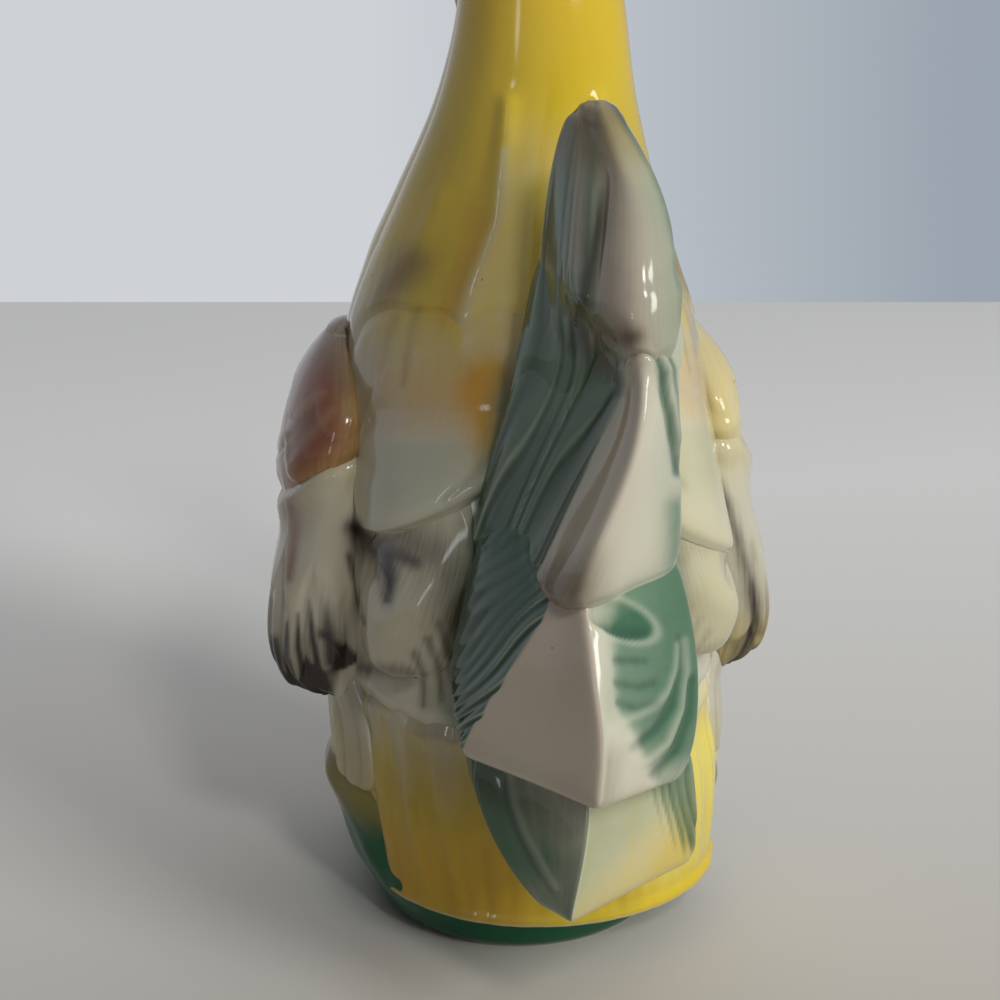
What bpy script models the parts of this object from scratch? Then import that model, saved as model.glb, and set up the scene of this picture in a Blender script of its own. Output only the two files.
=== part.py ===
"""A standing rooster figurine in glazed earthenware, as the castings it is luted together from.

Metres, +Z up. The bird faces -Y and its left side is +X. The foot stands on z = 0.
Outlines are drawn in millimetres for the nominal figure and stretch with the overall sizes.
"""

import math

import bpy
import numpy as np

MM = 0.001

# Overall sizes of the figure
FIGURE_WIDTH = 88.0 * MM
FIGURE_LENGTH = 117.0 * MM
FIGURE_HEIGHT = 205.0 * MM

# Walls, joints and relief
WALL = 4.5 * MM
SEAM = 0.3 * MM
PLUME_SEAM = 0.5 * MM
VENT_RADIUS = 6.0 * MM
FLUTE_COUNT = 24
FLUTE_DEPTH = 0.9 * MM
HACKLE_COUNT = 13
HACKLE_DEPTH = 0.5 * MM
HACKLE_TIP = 6.0 * MM
BARB_COUNT = 5
BARB_DEPTH = 0.7 * MM
QUILL_COUNT = 5
QUILL_DEPTH = 0.8 * MM
WING_LIFT = 1.0
PLUME_SPREAD = 1.0
PLUME_RISE = 0.35

# The size that the outlines are drawn for
DRAWN_SIZE = np.array((87.3, 116.5, 204.5))
STRETCH = np.array((FIGURE_WIDTH, FIGURE_LENGTH, FIGURE_HEIGHT)) / DRAWN_SIZE
WALL_DRAWN = WALL / STRETCH
SEAM_DRAWN = SEAM / STRETCH

# Level outlines: height, middle x, half width, front y, rear y
MOUND = (
    (0.0, 1.5, 24.5, -27.0, 22.5),
    (1.0, 1.5, 25.7, -28.3, 23.7),
    (5.0, 1.3, 28.5, -32.0, 25.0),
    (9.0, 1.0, 31.5, -35.0, 24.0),
    (14.0, 0.5, 34.0, -37.0, 20.5),
    (20.0, 0.0, 35.8, -38.2, 18.5),
    (26.0, 0.0, 36.3, -38.0, 17.5),
    (30.0, 0.0, 34.8, -36.5, 16.0),
    (34.0, 0.0, 31.0, -33.0, 12.0),
    (37.0, 0.0, 24.0, -27.0, 6.0),
)
SKIRT = (
    (8.0, -2.2, 31.2, -24.0, 30.2),
    (10.0, -2.1, 31.0, -24.5, 30.2),
    (14.0, -2.0, 31.4, -25.0, 30.8),
    (20.0, -1.6, 32.2, -26.0, 31.6),
    (30.0, -0.8, 32.8, -28.0, 32.2),
    (38.0, 0.0, 32.2, -31.0, 31.8),
    (46.0, 0.0, 31.2, -33.5, 30.8),
)
BODY = (
    (46.0, 0.0, 31.2, -33.5, 30.8),
    (60.0, 0.0, 32.8, -39.0, 33.2),
    (77.0, 0.0, 33.4, -44.0, 34.6),
    (92.0, 0.0, 32.4, -46.0, 31.6),
    (104.0, 0.0, 30.3, -44.0, 26.4),
    (112.0, 0.0, 27.8, -40.5, 22.4),
    (120.0, 0.0, 24.4, -35.5, 19.2),
)
NECK = (
    (100.0, 0.0, 32.3, -46.3, 29.4),
    (104.0, 0.0, 31.7, -45.4, 27.8),
    (112.0, 0.0, 29.4, -42.0, 24.0),
    (120.0, 0.0, 26.6, -37.6, 21.2),
    (131.0, -0.2, 22.4, -29.6, 18.6),
    (148.0, -0.6, 16.6, -17.6, 17.4),
    (164.0, -0.7, 13.5, -10.8, 16.6),
    (172.0, -0.4, 12.4, -10.4, 15.2),
)
HEAD = (
    (172.0, -0.4, 12.4, -10.4, 15.2),
    (176.0, -0.2, 12.2, -13.0, 14.6),
    (181.0, 0.0, 11.8, -14.6, 13.4),
    (186.0, 0.0, 10.4, -13.8, 11.2),
    (190.0, 0.0, 8.2, -11.4, 8.6),
    (193.0, 0.0, 5.0, -7.4, 5.0),
)
HACKLE_HEM = 110.0

# Feather lobes on the body: height, front angle, rear angle, stand-off, root depth
WING = (
    (42.0, 2.0, 8.0, 6.0, 2.0),
    (44.0, -4.0, 20.0, 10.0, 2.5),
    (52.0, -12.0, 28.0, 13.2, 3.0),
    (64.0, -24.0, 30.0, 10.8, 3.0),
    (76.0, -34.0, 28.0, 7.6, 3.0),
    (86.0, -43.0, 22.0, 6.2, 3.0),
    (95.0, -44.0, 14.0, 5.0, 3.0),
    (99.0, -38.0, 4.0, 3.2, 3.0),
    (102.0, -24.0, -12.0, 1.0, 2.0),
)
WING_BOW = (
    (78.5, -18.0, 0.0, 8.0, -3.0),
    (80.0, -32.0, 20.0, 10.0, -2.0),
    (86.0, -46.0, 24.0, 10.0, -1.0),
    (94.0, -50.0, 18.0, 8.8, 0.0),
    (99.5, -44.0, 8.0, 6.0, 1.0),
    (103.0, -28.0, -8.0, 2.0, 1.5),
)
SADDLE = (
    (74.0, 24.0, 40.0, 3.4, 1.0),
    (75.2, 16.0, 54.0, 4.8, 1.5),
    (80.0, 10.0, 66.0, 4.6, 2.0),
    (88.0, 8.0, 74.0, 3.8, 2.0),
    (96.0, 12.0, 76.0, 2.9, 2.0),
    (101.0, 24.0, 70.0, 1.8, 2.0),
    (103.5, 40.0, 58.0, 0.8, 1.5),
)
FLANK = (
    (50.0, 24.0, 42.0, 3.4, 1.0),
    (51.4, 14.0, 56.0, 5.0, 1.5),
    (57.0, 8.0, 68.0, 5.4, 2.0),
    (65.0, 10.0, 74.0, 4.2, 2.0),
    (72.0, 18.0, 72.0, 2.6, 2.0),
    (76.0, 32.0, 60.0, 1.0, 1.5),
)
THIGH = (
    (19.0, -40.0, -22.0, 2.0, 2.0),
    (22.0, -56.0, -2.0, 5.0, 3.0),
    (31.0, -66.0, 14.0, 6.4, 3.0),
    (42.0, -68.0, 18.0, 6.2, 3.0),
    (53.0, -60.0, 10.0, 3.8, 3.0),
    (60.0, -40.0, -14.0, 1.0, 2.0),
)
# Around each lobe: share of its angle, share of its stand-off (minus is the root side)
BOLD_RING = (
    (0.0, 0.0),
    (0.1, 0.7),
    (0.3, 1.0),
    (0.55, 1.02),
    (0.8, 0.95),
    (0.96, 0.7),
    (1.0, 0.0),
    (0.8, -1.0),
    (0.5, -1.0),
    (0.2, -1.0),
)
SOFT_RING = (
    (0.0, 0.0),
    (0.14, 0.4),
    (0.34, 0.9),
    (0.54, 1.05),
    (0.76, 0.85),
    (0.92, 0.4),
    (1.0, 0.0),
    (0.8, -1.0),
    (0.5, -1.0),
    (0.2, -1.0),
)

# Tail plumes: height, left root x y, left corner x y, keel x y, right corner x y, right root x y
TAIL_SICKLE = (
    (113.0, 9.0, 28.0, 3.0, 43.0, -5.0, 54.0, -12.0, 50.0, -9.5, 27.0),
    (118.0, 8.2, 26.5, 2.0, 45.5, -4.6, 60.0, -12.6, 51.0, -9.0, 26.0),
    (122.0, 7.8, 26.5, 1.2, 46.0, -4.2, 62.5, -12.8, 50.5, -8.6, 26.0),
    (130.0, 7.4, 27.0, 1.2, 43.0, -5.0, 58.0, -12.8, 48.5, -8.2, 26.5),
    (138.0, 6.2, 28.0, 1.6, 40.5, -4.6, 53.0, -12.0, 45.5, -7.8, 28.0),
    (145.0, 4.6, 30.0, 2.0, 38.5, -3.4, 48.0, -10.2, 42.0, -7.4, 30.0),
    (149.5, 3.2, 32.5, 1.8, 37.5, -2.4, 44.0, -7.6, 39.5, -6.2, 32.5),
    (151.8, 1.6, 35.0, 0.8, 37.2, -1.6, 40.5, -4.4, 38.0, -4.0, 35.0),
)
TAIL_UPPER = (
    (78.0, 15.0, 29.0, 12.4, 40.0, 4.0, 54.0, -12.6, 45.0, -13.0, 29.0),
    (80.0, 15.0, 28.0, 12.8, 42.5, 5.2, 62.0, -14.2, 49.0, -13.5, 28.0),
    (85.0, 13.5, 28.0, 10.0, 45.0, 5.2, 65.0, -14.0, 50.5, -13.0, 28.0),
    (94.0, 11.5, 27.5, 5.2, 48.0, 1.6, 65.5, -12.8, 51.0, -11.5, 27.5),
    (104.0, 9.0, 27.0, 1.2, 50.5, -3.2, 64.0, -11.4, 52.0, -9.5, 27.0),
    (112.0, 7.5, 27.5, -0.8, 54.0, -4.4, 62.0, -9.0, 53.0, -8.0, 28.0),
    (119.0, 3.0, 33.0, -1.6, 50.0, -4.0, 57.0, -6.0, 50.0, -5.0, 34.0),
)
TAIL_MIDDLE = (
    (49.0, 17.0, 30.0, 13.0, 45.0, 3.6, 60.0, -8.0, 50.0, -14.0, 30.0),
    (50.5, 19.5, 30.0, 20.0, 49.0, 4.4, 70.0, -11.0, 55.0, -16.0, 30.0),
    (54.5, 20.5, 29.5, 22.6, 50.0, 4.2, 71.0, -15.0, 53.0, -17.5, 29.5),
    (62.0, 20.0, 29.0, 17.8, 52.6, 3.2, 70.2, -17.0, 50.5, -17.5, 29.0),
    (74.0, 17.5, 28.5, 9.6, 57.0, 4.4, 65.6, -15.6, 49.0, -16.0, 28.5),
    (82.0, 14.0, 28.5, 5.4, 57.5, 4.2, 60.5, -13.6, 48.0, -12.5, 28.5),
    (86.0, 9.0, 30.0, 4.6, 50.0, 3.6, 54.0, -9.0, 46.0, -9.0, 30.0),
)
TAIL_LOWER = (
    (25.5, 8.0, 34.0, 6.0, 52.0, 4.0, 56.0, -12.0, 43.0, -12.0, 33.0),
    (26.5, 10.0, 31.0, 7.6, 57.0, 6.2, 61.0, -17.0, 46.5, -16.0, 30.5),
    (30.0, 14.0, 30.0, 11.4, 52.0, 6.0, 62.0, -18.4, 47.0, -17.5, 29.5),
    (36.0, 16.5, 29.5, 15.4, 48.0, 4.6, 62.0, -18.4, 47.2, -18.0, 29.0),
    (44.0, 18.0, 29.0, 18.4, 46.0, 3.0, 60.5, -17.6, 46.8, -18.0, 29.0),
    (49.0, 17.5, 29.0, 18.0, 45.0, 2.6, 58.0, -16.5, 46.0, -17.0, 29.0),
    (53.0, 14.0, 30.0, 13.0, 43.0, 2.6, 52.0, -12.0, 43.0, -14.0, 30.0),
)

# Head fittings
COMB_FRONT = -14.0
COMB_REAR = 15.0
COMB_POINTS = 5
COMB_HALF_THICKNESS = 2.6
WATTLE = (
    (157.5, 7.6, -14.0, 0.6, 1.0),
    (159.5, 7.6, -14.0, 3.0, 4.2),
    (164.0, 7.4, -13.6, 3.4, 5.2),
    (169.0, 6.6, -12.4, 2.8, 4.4),
    (174.0, 5.4, -10.6, 2.0, 3.0),
    (176.0, 4.8, -9.6, 0.8, 1.2),
)
BEAK = (
    (-28.0, 175.6, 0.5, 0.5),
    (-27.0, 176.4, 1.2, 1.4),
    (-22.0, 179.0, 2.8, 3.2),
    (-16.0, 180.6, 4.4, 4.8),
    (-11.0, 181.0, 4.6, 5.0),
)
TOES = (
    ((17.0, -34.5, 25.0), (19.0, -36.5, 19.0), (23.5, -35.5, 11.0), (25.0, -33.5, 8.0)),
    ((15.0, -35.0, 25.0), (15.0, -38.0, 19.0), (15.0, -38.5, 10.0), (15.0, -37.0, 6.5)),
    ((13.0, -35.0, 25.0), (11.0, -38.0, 19.0), (6.5, -38.5, 11.0), (5.0, -38.0, 8.0)),
)
TOE_RADII = (3.4, 3.2, 2.6, 1.4)

YELLOW = (0.66, 0.47, 0.03, 1.0)
CREAM = (0.72, 0.67, 0.54, 1.0)
GREEN = (0.03, 0.16, 0.09, 1.0)
TAIL_GREEN = (0.12, 0.25, 0.15, 1.0)
RUST = (0.22, 0.05, 0.015, 1.0)
RED = (0.42, 0.03, 0.02, 1.0)
HORN = (0.55, 0.38, 0.10, 1.0)


def curve(table, heights):
    """Values of a table's columns at the given heights, by a smooth curve through its rows."""
    rows = np.asarray(table, float)
    z = rows[:, 0]
    slopes = np.gradient(rows, z, axis=0)
    heights = np.clip(heights, z[0], z[-1])
    low = np.clip(np.searchsorted(z, heights, side="right") - 1, 0, len(z) - 2)
    gap = (z[low + 1] - z[low])[:, None]
    t = (heights - z[low])[:, None] / gap
    return (
        (2 * t**3 - 3 * t**2 + 1) * rows[low]
        + (t**3 - 2 * t**2 + t) * gap * slopes[low]
        + (3 * t**2 - 2 * t**3) * rows[low + 1]
        + (t**3 - t**2) * gap * slopes[low + 1]
    )


def spline(points, where, closed):
    """A uniform cubic B-spline along the first axis of a control net."""
    points = np.asarray(points, float)
    if not closed:
        points = np.concatenate((points[:1], points[:1], points, points[-1:], points[-1:]))
    spans = len(points) if closed else len(points) - 3
    span = np.minimum(np.floor(where).astype(int), spans - 1)
    t = (where - span).reshape((-1,) + (1,) * (points.ndim - 1))
    weights = (
        (1 - t) ** 3 / 6,
        (3 * t**3 - 6 * t**2 + 4) / 6,
        (-3 * t**3 + 3 * t**2 + 3 * t + 1) / 6,
        t**3 / 6,
    )
    start = span - 1 if closed else span
    return sum(w * points[(start + k) % len(points)] for k, w in enumerate(weights))


def net_grid(net, rows, around):
    """Sample a control net: rows is a count, around lists positions on the closed ring."""
    net = np.asarray(net, float)
    along = np.linspace(0, len(net) + 1, rows)
    levels = spline(net, along, closed=False)
    ring = spline(levels.transpose(1, 0, 2), np.asarray(around, float), closed=True)
    return ring.transpose(1, 0, 2)


def ovals(table, heights, count, inset=(0.0, 0.0)):
    """Rings of a level-outline table at the given heights."""
    angles = np.linspace(0, math.tau, count, endpoint=False)
    rings = []
    for z, middle, half, front, rear in curve(table, np.asarray(heights, float)):
        depth = (rear - front) / 2 - inset[1]
        x = middle + (half - inset[0]) * np.cos(angles)
        y = (rear + front) / 2 + depth * np.sin(angles)
        rings.append(np.column_stack((x, y, np.full(count, z))))
    return np.array(rings)


def skin(name, grid, closed_tube=False):
    """A closed mesh over rings that run upward and turn left; open ends get a centre point."""
    rows, count, _ = grid.shape
    points = [tuple(p) for p in (grid * STRETCH).reshape(-1, 3)]
    faces = []
    last = rows if closed_tube else rows - 1
    for row in range(last):
        above = (row + 1) % rows
        for k in range(count):
            right = (k + 1) % count
            low, low_right = row * count + k, row * count + right
            high, high_right = above * count + k, above * count + right
            faces.append((low, low_right, high_right))
            faces.append((low, high_right, high))
    if not closed_tube:
        for row, turn in ((0, -1), (rows - 1, 1)):
            pole = len(points)
            points.append(tuple((grid[row].mean(axis=0)) * STRETCH))
            for k in range(count):
                edge = (row * count + k, row * count + (k + 1) % count)
                faces.append((edge[0], edge[1], pole) if turn > 0 else (edge[1], edge[0], pole))
    mesh = bpy.data.meshes.new(name)
    mesh.from_pydata(points, [], faces)
    mesh.polygons.foreach_set("use_smooth", [True] * len(mesh.polygons))
    part = bpy.data.objects.new(name, mesh)
    bpy.context.scene.collection.objects.link(part)
    return part


def glaze(part, colour, roughness=0.15):
    """Give a part its own glaze."""
    material = bpy.data.materials.new(part.name + "_glaze")
    material.use_nodes = True
    shader = material.node_tree.nodes["Principled BSDF"]
    shader.inputs["Base Color"].default_value = colour
    shader.inputs["Roughness"].default_value = roughness
    shader.inputs["Metallic"].default_value = 0.0
    part.data.materials.append(material)
    return part


def hide(part):
    """Turn a part into a guide that the other parts are cut or joined with."""
    part.hide_render = True
    part.display_type = "WIRE"
    return part


def envelope(name, grid, seam=SEAM):
    """The filled outside of a part, grown by the seam, for cutting its neighbours."""
    guide = hide(skin(name + "_envelope", grid))
    grow = guide.modifiers.new("seam", "DISPLACE")
    grow.strength = seam
    grow.mid_level = 0.0
    return guide


def cut(part, guides):
    """Cut a part by its neighbours' envelopes."""
    for guide in guides:
        step = part.modifiers.new(guide.name, "BOOLEAN")
        step.operation = "DIFFERENCE"
        step.solver = "MANIFOLD"
        step.object = guide
    return part


def mirrored(grid):
    """The same rings for the bird's right side."""
    return grid[:, ::-1] * np.array((-1.0, 1.0, 1.0))


def furrow(phase):
    """Rounded ridges with narrow furrows: 0 on a ridge, -1 in a furrow."""
    return np.abs(np.sin(np.pi * phase)) ** 0.7 - 1.0


def fluted(grid, count, depth, fade):
    """Press feather flutes into level rings; fade scales each ring's depth."""
    phase = np.arange(grid.shape[1]) * count / grid.shape[1]
    middle = grid.mean(axis=1, keepdims=True)
    reach = np.linalg.norm(grid - middle, axis=2, keepdims=True)
    press = depth * furrow(phase)[None, :, None] * np.asarray(fade)[:, None, None]
    return middle + (grid - middle) * (1 + press / reach)


def body_point(height, angle, lift):
    """A point over the trunk at a height and an angle from the bird's left, lifted outward."""
    table = SKIRT if height < BODY[0][0] else BODY
    _, middle, half, front, rear = curve(table, np.array([height]))[0]
    turn = math.radians(angle)
    x = middle + (half + lift) * math.cos(turn)
    y = (rear + front) / 2 + ((rear - front) / 2 + lift) * math.sin(turn)
    return x, y, height


def lobe_grid(table, profile, rows, across, lift=1.0, quills=0):
    """A feather lobe that lies on the trunk, its quills pressed in toward the tip."""
    net = []
    for height, front, rear, stand_off, root in table:
        ring = []
        for share, out in profile:
            push = out * (stand_off if out >= 0 else root) * lift
            ring.append(body_point(height, front + (rear - front) * share, push))
        net.append(ring)
    outer = np.linspace(0, 6, across)
    grid = net_grid(net, rows, np.concatenate((outer, np.linspace(6, 10, 5)[1:-1])))
    if quills:
        share = np.clip(outer / 6, 0, 1)
        press = QUILL_DEPTH / MM * furrow(share * quills) * np.sin(np.pi * share) ** 0.5
        fade = np.interp(np.linspace(0, 1, rows), (0.0, 0.1, 0.5, 0.8), (0.3, 1.0, 0.8, 0.0))
        middle = grid.mean(axis=1, keepdims=True)
        away = (grid - middle) * np.array((1.0, 1.0, 0.0))
        away /= np.maximum(np.linalg.norm(away, axis=2, keepdims=True), 1e-6)
        grid[:, :across] += away[:, :across] * press[None, :, None] * fade[:, None, None]
    return grid


def plume_grid(table, rows, facet_bow):
    """A tail plume: two barbed sides, and two plain facets that meet at the keel."""
    net = []
    for z, x_lr, y_lr, x_l, y_l, x_k, y_k, x_r, y_r, x_rr, y_rr in table:
        left_root = np.array((x_lr * PLUME_SPREAD, y_lr, z))
        left = np.array((x_l * PLUME_SPREAD, y_l, z))
        keel = np.array((x_k, y_k, z))
        right = np.array((x_r * PLUME_SPREAD, y_r, z))
        right_root = np.array((x_rr * PLUME_SPREAD, y_rr, z))
        left_root[2] += PLUME_RISE * (left[1] - left_root[1])
        right_root[2] += PLUME_RISE * (right[1] - right_root[1])
        inward = np.array((0.0, -facet_bow, 0.0))
        net.append((
            left_root, (left_root + left) / 2 + (0.6, 0.0, 0.0), left, left,
            (left + keel) / 2 + inward, keel, keel, keel, (keel + right) / 2 + inward * 0.3,
            right, right, (right + right_root) / 2 + (-0.6, 0.0, 0.0), right_root,
            (left_root + right_root) / 2,
        ))
    side = np.linspace(0, 2.5, 2 * BARB_COUNT + 1)
    facets = (3.3, 4.4, 5.5, 6.0, 6.5, 7.6, 8.7)
    other = np.linspace(9.5, 12.0, 2 * BARB_COUNT + 1)
    around = np.concatenate((side, facets, other, (13.0,)))
    grid = net_grid(net, rows, around)
    press = np.zeros(len(around))
    press[: len(side)] = furrow(np.arange(len(side)) / 2) * np.sin(np.pi * side / 2.5) ** 0.5
    press[-1 - len(other):-1] = furrow(np.arange(len(other)) / 2) * np.sin(np.pi * side / 2.5) ** 0.5
    outward = np.where(around < 6, 1.0, -1.0)
    grid[:, :, 0] += BARB_DEPTH / MM * (press * outward)[None, :]
    return grid


def comb_grid():
    """The upright comb: a thin plate along the skull with its points along the top edge."""
    along = np.linspace(0, 1, 5 * COMB_POINTS + 1)
    turns = np.linspace(0, math.tau, 8, endpoint=False)
    rings = []
    for t in along:
        y = COMB_REAR + (COMB_FRONT - COMB_REAR) * t
        crown = 193.0 - 0.055 * (y + 1.0) ** 2
        swell = math.sin(math.pi * min(max(t, 0.02), 0.98)) ** 0.5
        point = 0.5 - 0.5 * math.cos(math.tau * COMB_POINTS * t)
        top = crown + swell * (7.0 + 5.0 * point)
        bottom = crown - 4.0 * swell - 0.4
        half = (top - bottom) / 2
        thick = COMB_HALF_THICKNESS * (0.35 + 0.65 * swell)
        ring = [
            (thick * math.cos(a), y, (top + bottom) / 2 + half * math.sin(a)) for a in turns
        ]
        rings.append(ring)
    return np.array(rings)


def tube_grid(path, radii, rows, count):
    """A tapering round toe along a bent path."""
    where = np.linspace(0, len(path) + 1, rows)
    centres = spline(path, where, closed=False)
    widths = spline(np.array(radii)[:, None], where, closed=False)[:, 0]
    ahead = np.gradient(centres, axis=0)
    ahead /= np.linalg.norm(ahead, axis=1, keepdims=True)
    side = np.cross(ahead, (0.0, 1.0, 0.0))
    side /= np.linalg.norm(side, axis=1, keepdims=True)
    over = np.cross(ahead, side)
    turns = np.linspace(0, math.tau, count, endpoint=False)
    spoke = side[:, None] * np.cos(turns)[None, :, None] + over[:, None] * np.sin(turns)[None, :, None]
    return centres[:, None] + spoke * widths[:, None, None]


for old in list(bpy.data.objects):
    bpy.data.objects.remove(old)

# Trunk, from the mound up
skirt_levels = np.array((8.0, 10.0, 16.0, 26.0, 37.0, 46.0))
skirt_outer = fluted(
    ovals(SKIRT, skirt_levels, 3 * FLUTE_COUNT),
    FLUTE_COUNT,
    FLUTE_DEPTH / MM,
    np.interp(skirt_levels, (8.0, 12.0, 40.0, 46.0), (0.6, 1.0, 1.0, 0.4)),
)
skirt_bore = ovals(SKIRT, skirt_levels[[-1, 3, 0]], 3 * FLUTE_COUNT, WALL_DRAWN)
skirt = skin("skirt_plumage", np.concatenate((skirt_outer, skirt_bore)), closed_tube=True)
glaze(skirt, YELLOW)
skirt_envelope = envelope("skirt", skirt_outer)

body_levels = np.linspace(BODY[0][0] + SEAM_DRAWN[2], BODY[-1][0], 9)
body_outer = ovals(BODY, body_levels, 34)
body_bore = ovals(BODY, body_levels[::-3], 34, WALL_DRAWN)
body = skin("body_shell", np.concatenate((body_outer, body_bore)), closed_tube=True)
glaze(body, CREAM)
body_envelope = envelope("body", body_outer)

neck_levels = np.concatenate((np.linspace(HACKLE_HEM, 124.0, 4), np.linspace(134.0, 172.0, 5)))
neck_outer = fluted(
    ovals(NECK, neck_levels, 3 * HACKLE_COUNT),
    HACKLE_COUNT,
    HACKLE_DEPTH / MM,
    np.interp(neck_levels, (110.0, 115.0, 150.0, 172.0), (1.0, 1.0, 0.7, 0.0)),
)
tips = HACKLE_TIP / MM * furrow(np.arange(3 * HACKLE_COUNT) / 3 + 0.5)
neck_outer[0, :, 2] += tips
neck_outer[1, :, 2] += tips * 0.6
neck_outer[2, :, 2] += tips * 0.2
neck_bore = ovals(NECK, neck_levels[::-4], 3 * HACKLE_COUNT, WALL_DRAWN)
neck = skin("neck_hackle", np.concatenate((neck_outer, neck_bore)), closed_tube=True)
cut(glaze(neck, YELLOW), [body_envelope])
neck_envelope = envelope("neck", neck_outer)

# Head and its fittings
head_levels = np.array((172.0, 175.0, 179.0, 183.0, 187.0, 190.5, 193.0))
head_outer = ovals(HEAD, head_levels, 28)
head_outer[:, :, 2] += SEAM_DRAWN[2]
head = glaze(skin("head", head_outer), RED)
head_envelope = envelope("head", head_outer)

comb = cut(glaze(skin("comb", comb_grid()), RED), [head_envelope])

beak_turns = np.linspace(0, math.tau, 12, endpoint=False)
beak_net = [
    [(wide * math.cos(a), y, z + tall * math.sin(a)) for a in -beak_turns]
    for y, z, wide, tall in BEAK
]
beak = skin("beak", net_grid(beak_net, 8, np.arange(12)))
cut(glaze(beak, HORN), [head_envelope])

wattle_net = [
    [(x + thick * math.cos(a), y + wide * math.sin(a), z) for a in beak_turns]
    for z, x, y, thick, wide in WATTLE
]
wattle_left = net_grid(wattle_net, 8, np.arange(0, 12, 1.2))
for name, grid in (("wattle_left", wattle_left), ("wattle_right", mirrored(wattle_left))):
    cut(glaze(skin(name, grid), RED), [head_envelope, neck_envelope])

# Feather lobes, left side first
guides = {}
for side in ("left", "right"):
    turned = (lambda grid: grid) if side == "left" else mirrored
    wing_grid = turned(lobe_grid(WING, BOLD_RING, 11, 2 * QUILL_COUNT + 5, WING_LIFT, QUILL_COUNT))
    bow_grid = turned(lobe_grid(WING_BOW, BOLD_RING, 8, 11))
    saddle_grid = turned(lobe_grid(SADDLE, SOFT_RING, 9, 10))
    flank_grid = turned(lobe_grid(FLANK, SOFT_RING, 9, 10))
    thigh_grid = turned(lobe_grid(THIGH, SOFT_RING, 8, 10))
    wing_envelope = envelope("wing_" + side, wing_grid)
    saddle_envelope = envelope("saddle_" + side, saddle_grid)
    flank_envelope = envelope("flank_" + side, flank_grid)
    thigh_envelope = envelope("thigh_" + side, thigh_grid)
    bow_envelope = envelope("wing_bow_" + side, bow_grid)
    trunk = [body_envelope, skirt_envelope]
    wing = glaze(skin("wing_" + side, wing_grid), CREAM)
    cut(wing, trunk)
    bow = glaze(skin("wing_bow_" + side, bow_grid), RUST)
    cut(bow, [body_envelope, wing_envelope])
    saddle = glaze(skin("saddle_" + side, saddle_grid), CREAM)
    cut(saddle, [body_envelope, wing_envelope, bow_envelope])
    flank = glaze(skin("flank_" + side, flank_grid), CREAM)
    cut(flank, [body_envelope, wing_envelope, saddle_envelope])
    thigh = glaze(skin("thigh_" + side, thigh_grid), CREAM)
    cut(thigh, trunk + [wing_envelope, flank_envelope])
    guides[side] = [saddle_envelope, flank_envelope, thigh_envelope]

# Tail, each plume lapped by the one above it
tail_guides = [body_envelope, skirt_envelope]
for side in ("left", "right"):
    tail_guides += guides[side][:2]
lapping = []
for name, table, bow in (
    ("tail_sickle", TAIL_SICKLE, 2.0),
    ("tail_upper_plume", TAIL_UPPER, 0.4),
    ("tail_middle_plume", TAIL_MIDDLE, 0.2),
    ("tail_lower_plume", TAIL_LOWER, 0.2),
):
    grid = plume_grid(table, 9, bow)
    plume = glaze(skin(name, grid), TAIL_GREEN)
    cut(plume, tail_guides + lapping)
    lapping = [envelope(name, grid, PLUME_SEAM)] + lapping

# Mound with its vent, and the feet
mound_levels = np.array((0.0, 1.0, 5.0, 10.0, 16.0, 23.0, 29.0, 34.0, 37.0))
mound_grid = ovals(MOUND, mound_levels, 32)
mound = glaze(skin("base_mound", mound_grid), GREEN)
mound_envelope = envelope("mound", mound_grid)
cut(mound, [skirt_envelope, guides["left"][2], guides["right"][2]])
vent_turns = np.linspace(0, math.tau, 24, endpoint=False)
vent_ring = np.column_stack((
    VENT_RADIUS / STRETCH[0] * np.cos(vent_turns),
    VENT_RADIUS / STRETCH[1] * np.sin(vent_turns) - 13.0,
    np.zeros(24),
))
vent = hide(skin("vent", np.array([vent_ring + (0, 0, z) for z in (-4.0, 14.0)])))
cut(mound, [vent])

for side in ("left", "right"):
    toes = [tube_grid(path, TOE_RADII, 6, 8) for path in TOES]
    if side == "right":
        toes = [mirrored(toe) for toe in toes]
    foot = glaze(skin("foot_" + side, toes[1]), YELLOW)
    for number in (0, 2):
        toe = hide(skin("toe_" + side + str(number), toes[number]))
        join = foot.modifiers.new(toe.name, "BOOLEAN")
        join.operation = "UNION"
        join.object = toe
    cut(foot, [mound_envelope, skirt_envelope, guides[side][2]])
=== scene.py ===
import math

import bpy
import numpy as np
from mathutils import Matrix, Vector
from mathutils.bvhtree import BVHTree


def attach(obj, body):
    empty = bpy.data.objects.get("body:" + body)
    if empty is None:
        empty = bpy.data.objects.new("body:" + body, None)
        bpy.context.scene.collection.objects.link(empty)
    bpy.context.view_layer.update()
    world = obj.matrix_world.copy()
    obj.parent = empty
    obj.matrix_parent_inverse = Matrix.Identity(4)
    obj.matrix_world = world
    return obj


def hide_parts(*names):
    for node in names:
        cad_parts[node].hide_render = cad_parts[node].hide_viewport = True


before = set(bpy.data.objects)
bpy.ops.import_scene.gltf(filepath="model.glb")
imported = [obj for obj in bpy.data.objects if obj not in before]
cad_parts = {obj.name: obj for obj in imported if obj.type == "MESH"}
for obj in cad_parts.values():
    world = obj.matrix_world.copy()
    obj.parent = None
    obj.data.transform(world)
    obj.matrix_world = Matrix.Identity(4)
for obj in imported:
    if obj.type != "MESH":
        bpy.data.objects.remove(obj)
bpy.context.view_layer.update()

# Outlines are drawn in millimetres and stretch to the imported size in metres.
MM_PER_M, M_PER_MM = 1000, 0.001
STRETCH = np.array((88.0 / 87.3, 117.0 / 116.5, 205.0 / 204.5)) * M_PER_MM

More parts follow.
